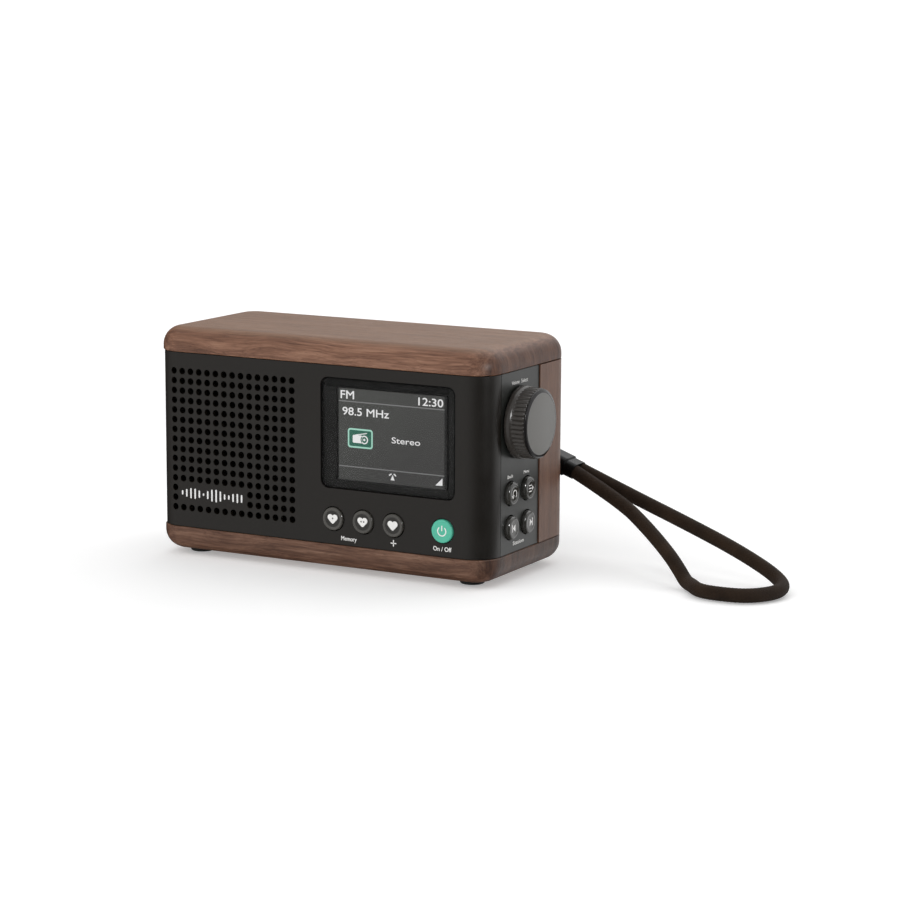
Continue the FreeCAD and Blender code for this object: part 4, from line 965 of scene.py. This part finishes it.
# Words, capital height, width, how bold, and the place on the front.
SCREEN_WORDS = [
    ("FM", 3.3, 6.2, 0.05, (12.9, 73.75)),
    ("12:30", 3.1, 11.2, 0.05, (51.3, 73.6)),
    ("98.5 MHz", 3.1, 21.5, 0.045, (21.4, 67.1)),
    ("Stereo", 2.4, 13.0, 0.02, (40.0, 56.9)),
]
CORNER_MARK = (56.7, 43.5)
AERIAL_MARK = (33.9, 42.2)
TILE = (18.9, 56.3)
WINDOW_CORNER = 3.3
# Width of the painted shade line round the window, in millimetres.
GAP_SHADE_LINE = 0.30


def screen_part(name, parts, colour, step):
    """Some of the picture, a film's thickness in front of what lies under it."""
    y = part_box("lcd_panel")[0].y - (0.02 + step * 0.03) * MM
    placed = [(mesh, on_front(x, z, y)) for mesh, x, z in parts]
    add_piece(name, merged(name, placed), SCREEN_COLOURS[colour], "case", smooth=False)


def drawn(shapes, spot):
    """Parts of the picture at one spot, each shape a plate of its own."""
    return [(flat_mesh(shape, SCREEN_FILM), *spot) for shape in shapes]


def make_field():
    """The lit field and its two thin rules."""
    half = (SCREEN["right"] - SCREEN["left"]) / 2
    middle = (SCREEN["left"] + SCREEN["right"]) / 2
    field = rounded_box(-half, half, SCREEN["low"], SCREEN["high"], 0.3)
    screen_part("screen_field", drawn([[field]], (middle, 0.0)), "field", 0)
    side = RULE_WIDTH / 2
    rule = [(-half, -side), (half, -side), (half, side), (-half, side)]
    rules = []
    for height in RULE_HEIGHTS:
        rules += drawn([[rule]], (middle, height))
    screen_part("screen_rules", rules, "rule", 1)


def make_words():
    """The words, the mark in the corner and a small aerial with its waves."""
    words = [(text_mesh(text, height, width, SCREEN_FILM, bold), *spot)
             for text, height, width, bold, spot in SCREEN_WORDS]
    words += drawn([[[(-3.2, -3.1), (0.0, -3.0), (0.0, 0.0)]]], CORNER_MARK)
    waves = [ring_band(0, -0.9, 1.9, 0.5, start, start + 40) for start in (35, 105)]
    mast = [(-0.9, -1.6), (0.9, -1.6), (0.0, 0.6)]
    words += drawn([[waves[0]], [waves[1]], [mast]], AERIAL_MARK)
    screen_part("screen_words", words, "words", 2)


def make_tile():
    """A tile with a light edge, and a plain radio on it."""
    tile = rounded_box(-5.8, 5.8, -3.95, 3.95, 1.2)
    inside = rounded_box(-5.15, 5.15, -3.3, 3.3, 0.7)
    screen_part("screen_tile", drawn([[tile]], TILE), "tile", 1)
    screen_part("screen_tile_edge", drawn([[tile, inside]], TILE), "tile_edge", 2)
    box = rounded_box(-3.5, 0.9, -1.9, 1.3, 0.5)
    dial = [circle(1.9, -0.4, 1.75, 28), circle(1.9, -0.4, 1.25, 28)]
    knob = circle(1.9, -0.4, 0.5, 16)
    mast = stroke(-2.2, 1.3, 3.0, 2.3, 0.35)
    screen_part("screen_pictogram", drawn([[box, *dial], [knob], [mast]], TILE), "words", 3)


def make_gap_shade():
    """A black line round the window, in front of its edge: painted shade of the gap there."""
    low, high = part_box("display_window")
    x, z = (high.x - low.x) / 2 / MM, (high.z - low.z) / 2 / MM
    line = GAP_SHADE_LINE
    outer = rounded_box(-x, x, -z, z, WINDOW_CORNER)
    inner = rounded_box(line - x, x - line, line - z, z - line, WINDOW_CORNER - line)
    place = on_front(0, 0)
    place.translation = Vector(((low.x + high.x) / 2, low.y - 0.01 * MM, (low.z + high.z) / 2))
    mesh = flat_mesh([outer, inner], FILM)
    mesh.transform(place)
    add_piece("window_gap_shade", mesh, GAP_SHADE, "case", smooth=False)


# ---------------------------------------------------------------- printed marks

# Words, capital height, width, and the place on that face.
FRONT_LABELS = [
    ("Memory", 1.75, 7.2, (15.25, 15.3)),
    ("On / Off", 1.75, 8.3, (58.4, 15.6)),
]
SIDE_LABELS = [
    ("Volume", 1.5, 6.4, (-12.4, 81.1)),
    ("Select", 1.5, 5.6, (-4.7, 81.1)),
    ("Back", 1.3, 4.6, (-16.4, 43.7)),
    ("Menu", 1.3, 4.6, (-2.4, 43.7)),
    ("Station", 1.5, 9.4, (-9.0, 16.0)),
]
PLUS = {"spot": (36.0, 15.6), "arm": 1.15, "width": 0.42}
BADGE = {"first": -65.4, "last": -36.2, "height": 26.75, "bars": 15, "width": 0.72}
BADGE_CAP = 0.35


def mark(name, parts, place_on, material=PRINT_WHITE):
    """Prints on the case: each part is a mesh and its two coordinates on that face."""
    placed = [(mesh, place_on(a, b) @ Matrix.Translation((0, 0, 0.005))) for mesh, a, b in parts]
    add_piece(name, merged(name, placed), material, "case", smooth=False)


def labels(table):
    return [(text_mesh(text, height, width, FILM), *spot) for text, height, width, spot in table]


def make_labels():
    """Words under the front keys and round the side ones, and a plus under the last heart."""
    arm, width = PLUS["arm"], PLUS["width"]
    plus = [stroke(-arm, 0, arm, 0, width), stroke(0, -arm, 0, arm, width)]
    plus_parts = [(flat_mesh([line], FILM), *PLUS["spot"]) for line in plus]
    mark("front_labels", labels(FRONT_LABELS) + plus_parts, on_front)
    mark("side_labels", labels(SIDE_LABELS), on_side)


def make_badge():
    """A row of level bars on the plain field of the grille."""
    bars = []
    for i in range(BADGE["bars"]):
        share = i / (BADGE["bars"] - 1)
        swell = 0.55 + 0.45 * sin(pi * share)
        height = 1.0 + 4.4 * abs(sin(share * pi * 2.5 + 0.35)) * swell
        end = height / 2 - BADGE_CAP
        x = BADGE["first"] + (BADGE["last"] - BADGE["first"]) * share
        bars.append((flat_mesh([stroke(0, -end, 0, end, BADGE["width"])], FILM), x, BADGE["height"]))
    mark("grille_badge", bars, on_front, PRINT_BADGE)


# ---------------------------------------------------------------- floor and light

FLOOR_SIZE = 400.0
# The world's strength by how far a direction points to the back right, from 0 at the front
# left to 1: above the horizon, and below it.
HIGH_LEVELS = [(0.0, 0.55), (0.25, 0.18), (0.5, 0.02), (0.63, 0.06), (0.73, 0.52), (0.82, 0.84)]
LOW_LEVELS = [(0.0, 0.55), (0.25, 0.16), (0.5, 0.01), (0.72, 0.03), (0.84, 0.30), (0.92, 0.92)]
BACK_RIGHT = (0.476, 0.879, 0.0)
ZENITH_LEVEL = 0.52
ZENITH_FROM, ZENITH_TO = 0.35, 0.9


def make_stage():
    """A wide pale floor with a faint glow of its own, which mirrors in nothing."""
    size = FLOOR_SIZE
    corners = [(-size, -size, 0), (size, -size, 0), (size, size, 0), (-size, size, 0)]
    mesh = mesh_from("floor", corners, [(0, 1, 2, 3)])
    white = (1.0, 1.0, 1.0, 1.0)
    g = Surface("floor_paper", Specular_IOR_Level=0.0, Emission_Color=white, Emission_Strength=0.32)
    fibres = g.noise(g.place(), 0.02, detail=2.0)
    g.set("Base Color", g.ramp(fibres, [(0.3, (0.84, 0.84, 0.84)), (0.7, (0.86, 0.86, 0.86))]))
    g.set("Roughness", g.remap(fibres, 0.3, 0.7, 0.75, 0.85))
    mesh.materials.append(g.material)
    floor = bpy.data.objects.new("floor", mesh)
    floor.location.z = -0.0002
    floor.visible_glossy = False
    bpy.context.scene.collection.objects.link(floor)


def make_sun(name, azimuth, elevation, strength, spread, mirrored=True):
    """Soft light from far away: where it comes from, in degrees, and how wide it looks."""
    data = bpy.data.lights.new(name, "SUN")
    data.energy = strength
    data.angle = radians(spread)
    sun = bpy.data.objects.new(name, data)
    a, e = radians(azimuth), radians(elevation)
    towards = Vector((sin(a) * cos(e), -cos(a) * cos(e), sin(e)))
    sun.rotation_euler = towards.to_track_quat("Z", "Y").to_euler()
    sun.visible_glossy = mirrored
    bpy.context.scene.collection.objects.link(sun)


def make_glint(name, position, aim, size, power):
    """A small square lamp that only shows as a bright spot in shiny parts."""
    data = bpy.data.lights.new(name, "AREA")
    data.shape = "SQUARE"
    data.size = size
    data.energy = power
    lamp = bpy.data.objects.new(name, data)
    lamp.location = position
    lamp.visible_camera = False
    lamp.visible_diffuse = False
    lamp.rotation_euler = (position - aim).to_track_quat("Z", "Y").to_euler()
    bpy.context.scene.collection.objects.link(lamp)


def make_world():
    """Soft light all round: brightest behind the radio on the right, less in front on the left
    and overhead, and dark in the two directions between them. Below the horizon the bright
    part is narrower."""
    world = bpy.data.worlds.new("studio")
    g = Graph(world, "Background")
    towards = g.node("ShaderNodeTexCoord").outputs["Generated"]
    slant = g.node("ShaderNodeVectorMath", towards, BACK_RIGHT, operation="DOT_PRODUCT").outputs["Value"]
    share = g.node("ShaderNodeMapRange", slant, -1.0, 1.0, 0.0, 1.0).outputs[0]
    high, low = (g.ramp(share, [(at, (grey, grey, grey)) for at, grey in levels])
                 for levels in (HIGH_LEVELS, LOW_LEVELS))
    up = g.split(towards)[2]
    level = g.mix(g.remap(up, -0.02, 0.12), low, high)
    overhead = g.node("ShaderNodeMapRange", up, ZENITH_FROM, ZENITH_TO, 0.0, 1.0).outputs[0]
    sideways = g.maths("SUBTRACT", 1.0, overhead)
    g.set("Strength", g.maths("ADD", g.maths("MULTIPLY", level, sideways),
                              g.maths("MULTIPLY", overhead, ZENITH_LEVEL)))
    g.set("Color", (1.0, 1.0, 1.0, 1.0))
    bpy.context.scene.world = world


def make_lights():
    make_sun("key", 172.0, 58.0, 0.95, 70.0)
    make_sun("fill", -17.0, 37.0, 1.10, 66.0, mirrored=False)
    make_glint("glint", case_point(509, -197, 202), case_point(85, -9, 64), 0.04, 0.9)


def make_view():
    settings = bpy.context.scene.view_settings
    settings.view_transform = "Standard"
    settings.look = "None"
    settings.exposure = 0.0


# ---------------------------------------------------------------- the scene

make_camera()
paint_nodes()
make_cord()
make_front_keys()
make_side_keys()
make_knob()
make_field()
make_words()
make_tile()
make_gap_shade()
make_labels()
make_badge()
make_stage()
make_world()
make_lights()
make_view()
